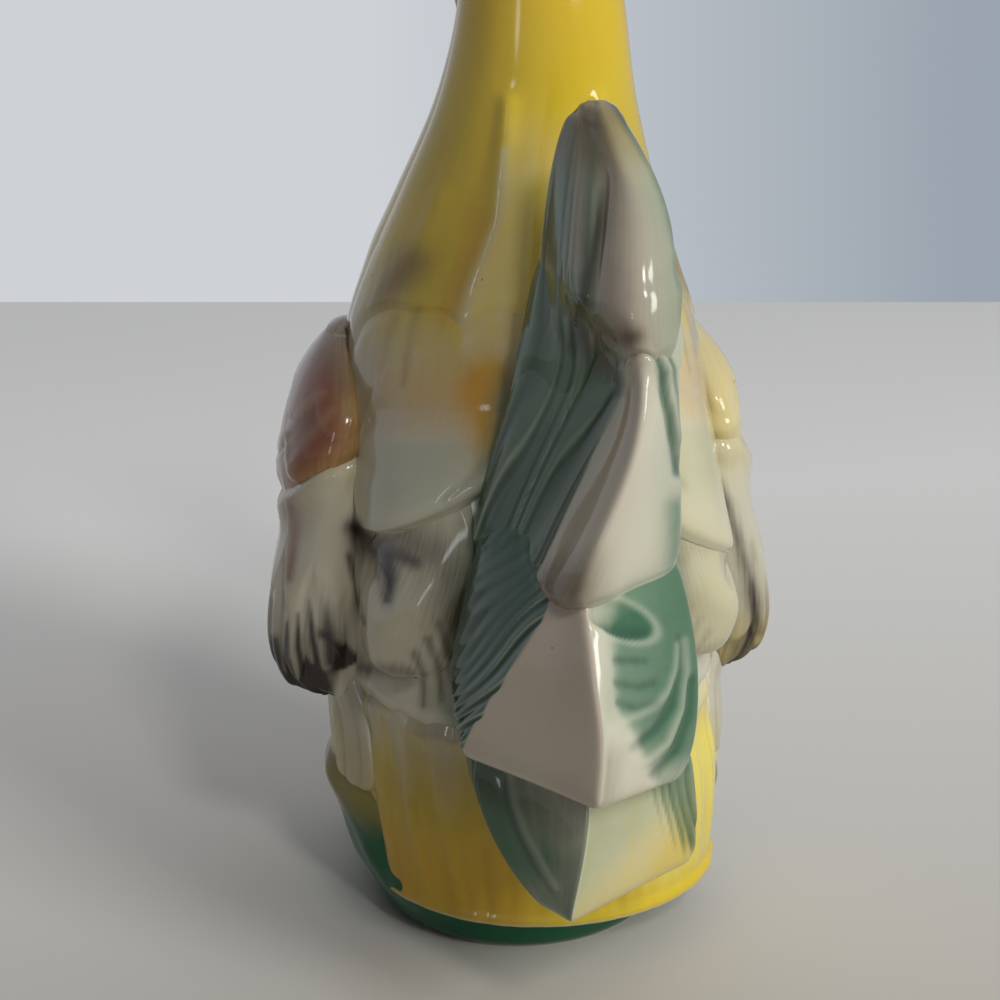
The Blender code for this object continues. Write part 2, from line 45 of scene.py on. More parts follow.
# The view that the camera shares with the rear drawing, a square sheet on which paint is placed
AZIMUTH, ELEVATION = math.radians(169.0), math.radians(19.0)
TARGET = np.array((5.57, 0.0, 77.0))
DISTANCE = 390.0
SHEET, SHEET_FOCUS = 1000, 2200
SENSOR = 36.0
BACK = np.array((
    math.sin(AZIMUTH) * math.cos(ELEVATION),
    -math.cos(AZIMUTH) * math.cos(ELEVATION),
    math.sin(ELEVATION),
))
EYE = TARGET + DISTANCE * BACK
ACROSS = np.array((math.cos(AZIMUTH), math.sin(AZIMUTH), 0.0))
UPWARD = np.cross(BACK, ACROSS)

# Level outlines: height, middle x, half width, front y, rear y
MOUND = (
    (0.0, 1.5, 24.5, -27.0, 22.5),
    (1.0, 1.5, 25.7, -28.3, 23.7),
    (5.0, 1.3, 28.5, -32.0, 25.0),
    (9.0, 1.0, 31.5, -35.0, 24.0),
    (14.0, 0.5, 34.0, -37.0, 24.0),
    (20.0, 0.0, 35.8, -38.2, 24.2),
    (26.0, 0.0, 36.3, -38.0, 22.5),
    (30.0, 0.0, 34.8, -36.5, 19.5),
    (34.0, 0.0, 31.0, -33.0, 14.0),
    (37.0, 0.0, 24.0, -27.0, 6.0),
)
SKIRT = (
    (8.0, -2.2, 31.2, -24.0, 30.2),
    (10.0, -2.1, 31.0, -24.5, 30.2),
    (14.0, -2.0, 31.4, -25.0, 30.8),
    (20.0, -1.6, 32.2, -26.0, 31.6),
    (30.0, -0.8, 32.8, -28.0, 32.2),
    (38.0, 0.0, 32.2, -31.0, 31.8),
    (46.0, 0.0, 31.2, -33.5, 30.8),
    (54.0, 0.0, 29.0, -33.5, 28.6),
)
BODY = (
    (38.0, 0.0, 28.0, -29.5, 27.6),
    (46.0, 0.0, 31.2, -33.5, 30.8),
    (60.0, 0.0, 32.8, -39.0, 33.2),
    (77.0, 0.0, 33.4, -44.0, 34.6),
    (92.0, 0.0, 32.4, -46.0, 31.2),
    (104.0, 0.0, 30.3, -44.0, 27.4),
    (112.0, 0.0, 27.8, -40.5, 24.0),
    (120.0, 0.0, 24.4, -35.5, 19.2),
)
NECK = (
    (100.0, 0.0, 32.3, -46.3, 29.4),
    (104.0, 0.0, 31.7, -45.4, 27.8),
    (112.0, 0.0, 29.4, -42.0, 24.0),
    (120.0, 0.0, 26.6, -37.6, 21.2),
    (131.0, -0.2, 22.4, -29.6, 18.6),
    (148.0, -0.6, 16.6, -17.6, 17.4),
    (164.0, -0.7, 13.5, -10.8, 16.6),
    (172.0, -0.4, 12.4, -10.4, 15.2),
    (176.0, -0.2, 12.0, -12.6, 14.3),
)
HEAD = (
    (168.0, -0.5, 11.4, -9.4, 14.2),
    (172.0, -0.4, 12.4, -10.6, 15.2),
    (176.0, -0.2, 12.2, -13.0, 14.6),
    (181.0, 0.0, 11.8, -14.6, 13.4),
    (186.0, 0.0, 10.4, -13.8, 11.2),
    (190.0, 0.0, 8.2, -11.4, 8.6),
    (193.0, 0.0, 5.0, -7.4, 5.0),
)

# Feather lobes: height, front angle, rear angle, stand-off, root depth, rise to the rear
WING = (
    (43.0, -4.0, 7.0, 8.0, 2.0, 0.0),
    (44.5, -8.0, 11.0, 12.6, 2.5, 0.0),
    (52.0, -14.0, 13.5, 15.4, 3.0, 0.0),
    (64.0, -24.0, 16.0, 12.2, 3.0, 0.0),
    (76.0, -34.0, 19.0, 8.6, 3.0, 0.0),
    (86.0, -43.0, 20.0, 6.4, 3.0, 0.0),
    (95.0, -44.0, 14.0, 5.0, 3.0, 0.0),
    (99.0, -38.0, 4.0, 3.2, 3.0, 0.0),
    (102.0, -24.0, -12.0, 1.0, 2.0, 0.0),
)
WING_BOW = (
    (73.5, -12.0, -6.0, 6.6, -3.0, 0.0),
    (77.0, -20.0, 2.0, 8.6, -2.0, 0.0),
    (82.0, -34.0, 11.0, 9.6, -1.0, 0.0),
    (88.0, -46.0, 19.0, 10.0, -1.0, 0.0),
    (94.0, -50.0, 23.0, 9.2, 0.0, 0.0),
    (99.5, -46.0, 17.0, 7.0, 1.0, 0.0),
    (104.0, -30.0, -4.0, 3.0, 1.5, 0.0),
)
SADDLE = (
    (79.0, 26.0, 46.0, 3.4, 1.0, 4.0),
    (79.8, 19.0, 62.0, 5.0, 1.5, 10.0),
    (84.0, 16.0, 76.0, 4.4, 2.0, 14.0),
    (90.0, 15.0, 80.0, 2.8, 2.0, 10.0),
    (97.0, 17.0, 80.0, 1.0, 2.0, 5.0),
    (103.0, 24.0, 76.0, -0.6, 2.0, 0.0),
    (108.0, 38.0, 62.0, -1.6, 1.5, 0.0),
)
FLANK = (
    (54.0, 29.0, 44.0, 3.0, 1.0, 0.0),
    (55.0, 21.0, 52.0, 5.2, 1.5, 0.0),
    (60.0, 17.0, 58.0, 6.2, 2.0, 1.0),
    (68.0, 17.0, 62.0, 5.2, 2.0, 3.0),
    (76.0, 22.0, 66.0, 3.0, 2.0, 6.0),
    (83.0, 32.0, 62.0, 0.6, 1.5, 8.0),
)
THIGH = (
    (23.0, -40.0, -14.0, 2.0, 2.0, 0.0),
    (25.5, -56.0, 14.0, 4.6, 3.0, 0.0),
    (31.0, -66.0, 26.0, 5.6, 3.0, 0.0),
    (42.0, -68.0, 19.0, 6.0, 3.0, 0.0),
    (53.0, -60.0, 10.0, 3.8, 3.0, 0.0),
    (60.0, -40.0, -14.0, 1.0, 2.0, 0.0),
)
# Sections of the lobes: share across, share of the stand-off or of the root depth
BOLD_RING = (
    (0.0, 0.0), (0.1, 0.7), (0.3, 1.0), (0.55, 1.02), (0.8, 0.95),
    (0.96, 0.7), (1.0, 0.0), (0.8, -1.0), (0.5, -1.0), (0.2, -1.0),
)
BOW_RING = (
    (0.0, 0.0), (0.1, 0.7), (0.3, 1.0), (0.55, 0.95), (0.8, 0.83),
    (0.96, 0.66), (1.0, 0.0), (0.8, -1.0), (0.5, -1.0), (0.2, -1.0),
)
SOFT_RING = (
    (0.0, 0.0), (0.14, 0.4), (0.34, 0.9), (0.54, 1.05), (0.76, 0.85),
    (0.92, 0.4), (1.0, 0.0), (0.8, -1.0), (0.5, -1.0), (0.2, -1.0),
)

# Top tail feather, places across and toward the rear view: height, left root, rise to the roots, end of
# the left side, valley, depth of the face, right edge, right root
TAIL_SICKLE = (
    (104.0, 1.6, 28.5, 2.0, 8.2, 44.0, 10.0, 42.0, 46.0, 16.8, 44.0, 12.0, 26.0),
    (110.0, 0.4, 28.3, 3.5, 8.4, 46.5, 10.6, 44.5, 50.0, 18.5, 47.5, 12.5, 25.5),
    (115.0, -0.2, 28.2, 4.5, 8.0, 48.0, 10.6, 46.2, 54.4, 19.8, 51.4, 12.8, 25.0),
    (119.0, 0.0, 28.2, 5.0, 7.6, 49.5, 10.0, 48.2, 56.4, 20.5, 52.2, 13.0, 24.8),
    (123.5, 0.4, 28.2, 5.0, 6.9, 50.5, 8.4, 50.6, 57.2, 21.0, 52.0, 13.1, 24.6),
    (130.0, 1.1, 28.4, 5.0, 7.6, 48.8, 8.6, 48.8, 54.5, 20.9, 49.8, 13.1, 24.5),
    (137.0, 2.2, 29.0, 5.0, 8.2, 45.0, 9.2, 45.0, 50.0, 19.9, 46.0, 13.0, 25.5),
    (142.0, 3.3, 30.2, 4.6, 8.5, 42.0, 9.7, 42.4, 46.8, 17.9, 43.0, 13.0, 27.0),
    (145.5, 4.4, 31.4, 3.8, 8.0, 39.6, 9.2, 40.9, 44.4, 15.8, 41.2, 12.6, 28.6),
    (148.5, 5.6, 32.8, 2.0, 8.0, 38.2, 8.8, 39.8, 42.2, 13.9, 39.8, 11.9, 30.4),
    (150.6, 6.3, 33.6, 0.6, 7.6, 37.4, 8.4, 38.8, 40.6, 12.7, 38.4, 11.4, 31.8),
    (151.8, 7.0, 34.8, 0.2, 7.8, 37.0, 8.5, 37.9, 39.2, 11.5, 37.2, 10.8, 33.6),
    (152.4, 7.9, 35.6, 0.0, 8.3, 36.7, 8.8, 37.2, 37.9, 10.4, 36.6, 10.0, 34.8),
)
# Tail plumes: height, left root x y, left corner x y, keel x y, right corner x y, right root x y,
# then how far the left and right corners drop below the row
TAIL_UPPER = (
    (78.0, 17.0, 29.0, 12.4, 40.0, 4.6, 54.0, -12.6, 45.0, -13.0, 29.0, 0.0, 0.0),
    (80.0, 17.8, 28.5, 12.8, 42.5, 6.2, 62.6, -14.2, 49.0, -13.5, 28.0, 0.0, 0.0),
    (85.0, 16.4, 28.5, 10.0, 45.0, 6.0, 65.6, -14.6, 50.8, -13.0, 28.0, 0.0, 0.0),
    (94.0, 13.4, 28.0, 5.2, 48.0, 2.6, 66.0, -13.8, 51.5, -12.0, 27.5, 0.0, 0.0),
    (104.0, 10.4, 27.0, 0.8, 51.0, -2.2, 64.4, -13.0, 52.8, -10.0, 27.0, 0.0, 0.0),
    (112.0, 8.8, 27.0, -1.8, 53.0, -4.0, 62.2, -11.8, 54.0, -9.0, 27.5, 0.0, 0.0),
    (119.0, 7.2, 27.5, -1.8, 51.6, -4.6, 58.0, -11.5, 55.2, -8.0, 29.0, 0.0, 0.0),
    (126.0, 3.6, 31.5, -1.6, 45.0, -4.8, 55.6, -10.6, 54.4, -6.6, 32.0, 0.0, 0.0),
)
TAIL_MIDDLE = (
    (49.0, 17.0, 30.0, 13.0, 45.0, 3.6, 60.0, -9.0, 50.0, -14.0, 30.0, 0.0, 4.0),
    (50.0, 19.5, 30.0, 20.0, 49.0, 4.4, 70.4, -12.5, 55.0, -16.0, 30.0, 0.0, 4.5),
    (54.0, 20.5, 29.5, 22.8, 50.0, 4.2, 71.4, -16.0, 53.0, -17.5, 29.5, 0.0, 3.5),
    (62.0, 20.0, 29.0, 17.8, 52.6, 3.2, 70.2, -17.4, 50.5, -17.5, 29.0, 0.0, 0.0),
    (74.0, 17.5, 28.5, 11.4, 56.4, 4.4, 65.6, -15.6, 49.0, -16.0, 28.5, 0.0, 0.0),
    (82.0, 14.0, 28.5, 7.6, 56.4, 4.2, 60.5, -13.6, 48.0, -12.5, 28.5, 0.0, 0.0),
    (86.0, 9.0, 30.0, 5.6, 50.0, 3.6, 54.0, -9.0, 46.0, -9.0, 30.0, 0.0, 0.0),
)
TAIL_LOWER = (
    (25.5, 8.6, 34.0, 6.4, 52.0, 4.0, 56.0, -12.0, 43.0, -12.0, 33.0, 0.0, 0.0),
    (26.2, 10.6, 31.0, 8.8, 57.0, 6.2, 61.4, -17.0, 46.5, -16.0, 30.5, 0.0, 0.0),
    (29.6, 14.8, 30.0, 12.6, 52.6, 6.0, 62.4, -18.6, 47.0, -17.5, 29.5, 0.0, 0.0),
    (36.0, 17.2, 29.5, 16.2, 48.2, 4.6, 62.2, -18.6, 47.2, -18.0, 29.0, 0.0, 0.0),
    (44.0, 18.4, 29.0, 18.8, 46.0, 3.0, 60.5, -17.8, 46.8, -18.0, 29.0, 0.0, 0.0),
    (49.0, 17.5, 29.0, 18.0, 45.0, 2.6, 58.0, -16.5, 46.0, -17.0, 29.0, 0.0, 0.0),
    (53.0, 14.0, 30.0, 13.0, 43.0, 2.6, 52.0, -12.0, 43.0, -14.0, 30.0, 0.0, 0.0),
)
PLUME_RISE = 0.35

# Wattle: height, middle x, middle y, half thickness, half width
WATTLE = (
    (157.5, 7.6, -14.0, 0.6, 1.0),
    (159.5, 7.6, -14.0, 3.0, 4.2),
    (164.0, 7.4, -13.6, 3.4, 5.2),
    (169.0, 6.6, -12.4, 2.8, 4.4),
    (174.0, 5.4, -10.6, 2.0, 3.0),
    (176.0, 4.8, -9.6, 0.8, 1.2),
)
# Beak: y, height, half width, half height
BEAK = (
    (-28.0, 175.6, 0.5, 0.5),
    (-27.0, 176.4, 1.2, 1.4),
    (-22.0, 179.0, 2.8, 3.2),
    (-16.0, 180.6, 4.4, 4.8),
    (-11.0, 181.0, 4.6, 5.0),
)
# The left foot's toes: points along their middles, and radii there
TOES = (
    ((17.0, -34.5, 25.0), (19.0, -36.5, 19.0), (23.5, -35.5, 11.0), (25.0, -33.5, 8.0)),
    ((15.0, -35.0, 25.0), (15.0, -38.0, 19.0), (15.0, -38.5, 10.0), (15.0, -37.0, 6.5)),
    ((13.0, -35.0, 25.0), (11.0, -38.0, 19.0), (6.5, -38.5, 11.0), (5.0, -38.0, 8.0)),
)
TOE_RADII = (3.4, 3.2, 2.6, 1.4)
# The fold down the back of the neck, on the rear drawing
FOLD = [(508, 105), (504, 150), (497, 222), (470, 290), (460, 350)]

SIDES = ((1, "left"), (-1, "right"))
LOBE_BACK, PLUME_ROWS, FINGER_ROWS = 14, 180, 190
DOME_TURNS = np.radians((25.0, 50.0, 72.0, 86.0))

# Glaze colours, linear
CREAM = (0.62, 0.595, 0.465)
PINK_CREAM = (0.52, 0.44, 0.355)
YELLOW = (0.64, 0.475, 0.024)
LEMON = (0.80, 0.68, 0.12)
ORANGE = (0.62, 0.30, 0.015)
GREEN = (0.042, 0.125, 0.066)
PALE_GREEN = (0.155, 0.25, 0.165)
DEEP_GREEN = (0.012, 0.042, 0.026)
MOUND_GREEN = (0.006, 0.10, 0.038)
RUST = (0.20, 0.036, 0.008)
RED = (0.42, 0.022, 0.014)
BLACK = (0.014, 0.012, 0.012)
HORN = (0.58, 0.38, 0.07)
BISQUE = (0.66, 0.60, 0.52)
UMBER = (0.10, 0.062, 0.034)
PALE = (0.62, 0.60, 0.48)
SPECK = (0.03, 0.03, 0.02)


def step(x, low, high):
    """A soft step from 0 at low to 1 at high."""
    t = np.clip((x - low) / (high - low), 0.0, 1.0)
    return t * t * (3 - 2 * t)


def ebb(x, low, high):
    """A soft step from 1 at low to 0 at high."""
    return 1 - step(x, low, high)


def bell(x, middle, width):
    """A soft hump around a middle."""
    return np.exp(-(((x - middle) / width) ** 2))


def within(phase):
    """The share of the way from one whole number to the next."""
    return phase - np.floor(phase)


def turns(count):
    """Even angles round a ring."""
    return np.linspace(0, math.tau, count, endpoint=False)


def ripple(grid, size, seed):
    """Smooth noise from crossed waves, about -1 to 1, on a grid in millimetres."""
    points = grid.reshape(-1, 3)
    rng = np.random.default_rng(seed)
    total = 0.0
    for _ in range(7):
        way = rng.normal(size=3)
        way *= math.tau / (size * rng.uniform(0.7, 1.6) * np.linalg.norm(way))
        total = total + np.sin(points @ way + rng.uniform(0, math.tau))
    return (total / 3.2).reshape(grid.shape[:2])


def curve(table, heights):
    """Values of a table's columns at the given heights, by a smooth curve through its rows."""
    rows = np.asarray(table, float)
    z = rows[:, 0]
    slopes = np.gradient(rows, z, axis=0)
    heights = np.clip(heights, z[0], z[-1])
    low = np.clip(np.searchsorted(z, heights, side="right") - 1, 0, len(z) - 2)
    gap = (z[low + 1] - z[low])[:, None]
    t = (heights - z[low])[:, None] / gap
    return (
        (2 * t**3 - 3 * t**2 + 1) * rows[low]
        + (t**3 - 2 * t**2 + t) * gap * slopes[low]
        + (3 * t**2 - 2 * t**3) * rows[low + 1]
        + (t**3 - t**2) * gap * slopes[low + 1]
    )


def spline(points, where, closed):
    """A uniform cubic B-spline along the first axis of a control net."""
    points = np.asarray(points, float)
    if not closed:
        points = np.concatenate((points[:1], points[:1], points, points[-1:], points[-1:]))
    spans = len(points) if closed else len(points) - 3
    span = np.minimum(np.floor(where).astype(int), spans - 1)
    t = (where - span).reshape((-1,) + (1,) * (points.ndim - 1))
    weights = (
        (1 - t) ** 3 / 6,
        (3 * t**3 - 6 * t**2 + 4) / 6,
        (-3 * t**3 + 3 * t**2 + 3 * t + 1) / 6,
        t**3 / 6,
    )
    start = span - 1 if closed else span
    return sum(w * points[(start + k) % len(points)] for k, w in enumerate(weights))


def net_grid(net, rows, around):
    """Sample a control net: rows is a count, around lists positions on the closed ring."""
    net = np.asarray(net, float)
    levels = spline(net, np.linspace(0, len(net) + 1, rows), closed=False)
    ring = spline(levels.transpose(1, 0, 2), np.asarray(around, float), closed=True)
    return ring.transpose(1, 0, 2)


def ovals(table, heights, count):
    """Rings of a level-outline table at the given heights."""
    angles = turns(count)
    rows = curve(table, np.asarray(heights, float))
    z, middle, half, front, rear = (rows[:, k][:, None] for k in range(5))
    x = middle + half * np.cos(angles)
    y = (rear + front) / 2 + (rear - front) / 2 * np.sin(angles)
    return np.stack((x, y, np.broadcast_to(z, x.shape)), axis=2)


def outward(grid):
    """Unit normals of rings that run upward and turn left."""
    around = np.roll(grid, -1, axis=1) - np.roll(grid, 1, axis=1)
    along = np.gradient(grid, axis=0)
    normal = np.cross(around, along)
    return normal / np.maximum(np.linalg.norm(normal, axis=2, keepdims=True), 1e-9)


def blurred(values, times):
    """Soften a map on a grid of rings."""
    for _ in range(times):
        values = (np.roll(values, 1, axis=1) + 2 * values + np.roll(values, -1, axis=1)) / 4
        padded = np.concatenate((values[:1], values, values[-1:]))
        values = (padded[:-2] + 2 * padded[1:-1] + padded[2:]) / 4
    return values


def raised(grid, relief, times=0):
    """A grid lifted along its normals by a relief that is softened first."""
    return grid + outward(grid) * blurred(relief, times)[:, :, None]


def tucked(grid, rings):
    """A grid whose lowest ring goes on inward and up, by pairs of inset and lift."""
    inward = grid[0] - grid[0].mean(axis=0)
    inward[:, 2] = 0.0
    inward /= np.linalg.norm(inward, axis=1, keepdims=True)
    under = [grid[0] - inward * inset + np.array((0.0, 0.0, lift)) for inset, lift in rings]
    return np.concatenate((np.array(under), grid))


def blades(phase):
    """Lapped barbs: a slow rise to each edge and a quick fall, about 0 to 1."""
    share = within(phase)
    return 1.15 * share**0.8 * ebb(share, 0.62, 1.0)


def barbs(phase):
    """The relief of lapped barbs, about level on the whole."""
    return blades(phase) - 0.55


def seams(phase, width):
    """1 in the seam between two barbs, 0 on them."""
    share = within(phase)
    return np.exp(-((np.minimum(share, 1 - share) / width) ** 2))


def tip_reach(side):
    """How far down a round feather tip reaches, from its middle at 0 to its sides at -1 and 1."""
    return 1.2 - 0.55 * side**2


def scales(a, b, rows, across):
    """Overlapping round feather tips: a runs across, b down. Gives height, edge and shaft maps."""
    height, edge, shaft = np.zeros_like(a), np.zeros_like(a), np.zeros_like(a)
    for row in range(rows - 1, -1, -1):
        side = 2 * within(a * across + 0.5 * (row % 2)) - 1
        y = b * rows - row
        reach = tip_reach(side)
        inside = y < reach
        height = np.where(inside, np.clip(0.2 + 0.8 * y / reach, 0.0, 1.0), height)
        edge = np.where(inside, np.exp(-((reach - y) / 0.16)), edge)
        shaft = np.where(inside, bell(side, 0.0, 0.13) * np.clip(y / reach, 0, 1), shaft)
    return height, edge, shaft


def mirrored(grid):
    """The same rings for the bird's right side."""
    return grid[:, ::-1] * np.array((-1.0, 1.0, 1.0))


def sheet(points):
    """Where points fall on the rear drawing, from its top left corner."""
    rays = points * STRETCH * MM_PER_M - EYE
    depth = -(rays @ BACK)
    return (
        SHEET / 2 + SHEET_FOCUS * (rays @ ACROSS) / depth,
        SHEET / 2 - SHEET_FOCUS * (rays @ UPWARD) / depth,
    )


def left_sheet(points):
    """The rear drawing's left half, folded over onto the right side."""
    return sheet(points * np.where(points[:, :, :1] < 0, -1.0, 1.0) ** np.array((1.0, 0.0, 0.0)))


def stroke(px, py, path, start, end=None):
    """A brush stroke along a path on the rear drawing: 1 along its middle, fading to its sides."""
    end = start if end is None else end
    best = np.zeros_like(px)
    for k, ((x0, y0), (x1, y1)) in enumerate(zip(path[:-1], path[1:])):
        dx, dy = x1 - x0, y1 - y0
        share = np.clip(((px - x0) * dx + (py - y0) * dy) / (dx * dx + dy * dy), 0, 1)
        width = start + (end - start) * (k + share) / (len(path) - 1)
        away = np.hypot(px - x0 - share * dx, py - y0 - share * dy)
        best = np.maximum(best, np.exp(-((away / width) ** 2)))
    return best


def turned(px, py, middle, way):
    """Places on the rear drawing along a direction and across it, from a middle."""
    x, y = px - middle[0], py - middle[1]
    return x * way[0] + y * way[1], -x * way[1] + y * way[0]


def strokes(px, py, *marks):
    """The strongest of some brush strokes: strength, path and widths of each."""
    total = np.zeros_like(px)
    for strength, *mark in marks:
        total = np.maximum(total, strength * stroke(px, py, *mark))
    return total


class Piece:
    """Rings of points with their paint maps, which become one closed mesh."""

    def __init__(self, name, nodes, slot, grid, paint, flow=None, low=0.6, high=0.6):
        self.name, self.nodes, self.slot = name, nodes, slot
        rows, count, _ = grid.shape
        if flow is None:
            around = np.linspace(0, 60, count)[None, :] + np.zeros((rows, 1))
            flow = np.stack((around, grid[:, :, 2] * 0.06), axis=2)
        self.maps = {
            key: np.clip(np.broadcast_to(value, (rows, count)), 0, 1) for key, value in paint.items()
        }
        self.flow = flow
        self.grid = grid
        self.dome(0, -low)
        self.dome(-1, high)

    def dome(self, end, height):
        """Close an open end with a few shrinking rings."""
        ring = self.grid[end]
        middle = ring.mean(axis=0)
        way = np.array((0.0, 0.0, height))
        rings = [middle + (ring - middle) * math.cos(a) + way * math.sin(a) for a in DOME_TURNS]

        def grown(values, extra=None):
            extra = np.repeat(values[[end]], len(rings), axis=0) if extra is None else extra
            return np.concatenate((extra[::-1], values) if end == 0 else (values, extra))

        self.grid = grown(self.grid, np.array(rings))
        self.maps = {key: grown(values) for key, values in self.maps.items()}
        self.flow = grown(self.flow)

    def faces(self):
        """Quads of the rings, and fans at the two ends."""
        rows, count, _ = self.grid.shape
        index = np.arange(rows * count).reshape(rows, count)
        right = np.roll(index, -1, axis=1)
        quads = np.stack((index[:-1], right[:-1], right[1:], index[1:]), axis=2).reshape(-1, 4)
        low = np.stack((right[0], index[0], np.full(count, rows * count)), axis=1)
        high = np.stack((index[-1], right[-1], np.full(count, rows * count + 1)), axis=1)
        return quads.tolist() + low.tolist() + high.tolist()

    def points(self):
        """All points, the two end points last."""
        return with_ends(self.grid)


def with_ends(values):
    """A grid's values in one list, with the means of its first and last ring."""
    ends = np.stack((values[0].mean(axis=0), values[-1].mean(axis=0)))
    return np.concatenate((values.reshape(-1, *values.shape[2:]), ends))


PIECES = []


def add(*args, **kwargs):
    """Make a piece and keep it."""
    PIECES.append(Piece(*args, **kwargs))


def body_point(height, angle, lift):
    """A point over the trunk at a height and an angle from the bird's left, lifted outward."""
    table = SKIRT if height < 46.0 else BODY
    _, middle, half, front, rear = curve(table, np.array([height]))[0]
    turn = math.radians(angle)
    x = middle + (half + lift) * math.cos(turn)
    y = (rear + front) / 2 + ((rear - front) / 2 + lift) * math.sin(turn)
    return x, y, height


def lobe(table, profile, rows, across, lift=1.0, fall=0.0, blunt=1.0):
    """A feather lobe on the trunk: grid, heights, share across, share upward, and where it faces out."""
    net = []
    for height, front, rear, stand_off, root, rise in table:
        ring = []
        for share, out in profile:
            push = out * (stand_off * lift if out >= 0 else root)
            level = height - fall * ebb(height, 78.0, 104.0) + rise * (share - 0.35)
            ring.append(body_point(level, front + (rear - front) * share, push))
        net.append(ring)
    ring = np.concatenate((np.linspace(0, 6, across), np.linspace(6, 10, LOBE_BACK + 2)[1:-1]))
    share = np.where(ring <= 6, ring / 6, (10 - ring) / 4)
    up = np.repeat(np.linspace(0, 1, rows)[:, None], len(ring), 1)
    a = np.broadcast_to(share, up.shape)
    face = np.sin(np.pi * a) ** blunt * (np.arange(len(ring)) < across)
    grid = net_grid(net, rows, ring)
    return grid, grid[:, :, 2], a, up, face


def plume(table, bow, soft_low, soft_high, round_off=0.0):
    """A tail plume: two barbed sides, and two plain facets that meet at a more or less soft keel."""
    net = []
    for k, row in enumerate(table):
        z, x_lr, y_lr, x_l, y_l, x_k, y_k, x_r, y_r, x_rr, y_rr, drop_l, drop_r = row
        soft = soft_low + (soft_high - soft_low) * k / (len(table) - 1)
        left_root = np.array((x_lr, y_lr, z - drop_l + PLUME_RISE * (y_l - y_lr)))
        left = np.array((x_l, y_l, z - drop_l))
        keel = np.array((x_k, y_k, z))
        right = np.array((x_r, y_r, z - drop_r))
        right_root = np.array((x_rr, y_rr, z + PLUME_RISE * (y_r - y_rr)))
        inward = np.array((0.0, -bow, 0.0))
        swell = np.array((0.6, 0.0, 0.0))
        wide_l, wide_r = np.linalg.norm(left - keel), np.linalg.norm(right - keel)
        to_left = (left - keel) / wide_l * min(soft, 0.42 * wide_l)
        to_right = (right - keel) / wide_r * min(soft, 0.42 * wide_r)
        out = -(to_left + to_right) * 0.16
        net.append((
            left_root, (left_root + left) / 2 + swell,
            left + (left_root - left) * round_off, left + (keel - left) * round_off,
            (left + keel) / 2 + inward, keel + to_left + out, keel + out, keel + to_right + out,
            (keel + right) / 2 + inward * 0.3,
            right + (keel - right) * round_off, right + (right_root - right) * round_off,
            (right + right_root) / 2 - swell, right_root,
            (left_root + right_root) / 2,
        ))
    legs = ((0, 2.8, 78), (2.8, 9.4, 124), (9.4, 12.0, 44), (12.0, 14.0, 8))
    ring = np.concatenate([np.linspace(*leg, endpoint=False) for leg in legs])
    up = np.repeat(np.linspace(0, 1, PLUME_ROWS)[:, None], len(ring), 1)
    return net_grid(net, PLUME_ROWS, ring), np.broadcast_to(ring, up.shape), up


def finger(table):
    """The top tail feather: a barbed left side, a valley, a rounded face and a right side."""
    share = np.linspace(0, 1, FINGER_ROWS)
    first, last = table[0][0], table[-1][0]
    cols = curve(table, first + (last - first) * (1 - (1 - share) ** 1.4))
    z, lr_u, lr_d, rise, w_u, w_d, v_u, v_d, f_d, r_u, r_d, rr_u, rr_d = (
        cols[:, k][:, None] for k in range(13)
    )
    arch = f_d - (v_d + r_d) / 2
    # Each leg: count, from and to across, from and to in depth, bulge across and in depth, rise at both
    # ends, then where it starts on the ring and its length there
    legs = []
    for count, u0, u1, d0, d1, bulge, bow, rise0, rise1, start, reach in (
        (84, lr_u, w_u, lr_d, w_d, -2.0, 0.0, rise, 0.0, 0.0, 2.6),
        (8, w_u, v_u, w_d, v_d, 0.0, 0.0, 0.0, 0.0, 2.6, 0.8),
        (90, v_u, r_u, v_d, r_d, 0.0, arch, 0.0, 0.0, 3.4, 6.1),
        (48, r_u, rr_u, r_d, rr_d, 2.0, 0.0, 0.0, rise, 9.5, 2.5),
        (12, rr_u, lr_u, rr_d, lr_d, 0.0, 0.0, rise, rise, 12.0, 2.0),
    ):
        a = np.linspace(0, 1, count, endpoint=False)
        legs.append((
            u0 + (u1 - u0) * a + bulge * a * (1 - a),
            d0 + (d1 - d0) * a + bow * (1 - np.abs(2 * a - 1) ** 2.0),
            z + rise0 * (1 - a) + rise1 * a,
            start + reach * a,
        ))
    u, d, level = (np.concatenate([leg[k] for leg in legs], axis=1) for k in range(3))
    ring = np.concatenate([leg[3] for leg in legs])
    grid = np.stack((
        u * ACROSS[0] + d * ACROSS[1], u * ACROSS[1] - d * ACROSS[0], level,
    ), axis=2)
    for _ in range(30):
        grid = (np.roll(grid, 1, axis=1) + 2 * grid + np.roll(grid, -1, axis=1)) / 4
    return grid, np.broadcast_to(ring, grid.shape[:2]), np.repeat(share[:, None], len(ring), 1)


def tail_halo(points):
    """Green airbrushed round the root of the tail."""
    side, deep, high = points[:, :, 0], points[:, :, 1], points[:, :, 2]
    edge = np.interp(high, (48.0, 60.0, 75.0, 81.0, 98.0, 112.0), (18.0, 18.5, 18.4, 16.6, 12.0, 8.4))
    return ebb(np.abs(side + 1.0), edge - 1.0, edge + 4.5) * step(deep, 14, 22) * ebb(high, 102, 113)


def past_fold(points):
    """The paler feather between the neck's fold and the tail, paler partly by paint and partly by painted
    light for the glare there.
    """
    px, py = left_sheet(points)
    edge = np.interp(py, [y for x, y in FOLD], [x for x, y in FOLD])
    return step(px - edge, -4, 6) * step(points[:, :, 1], -6, 2) * step(py, 100, 190) * ebb(py, 350, 380)


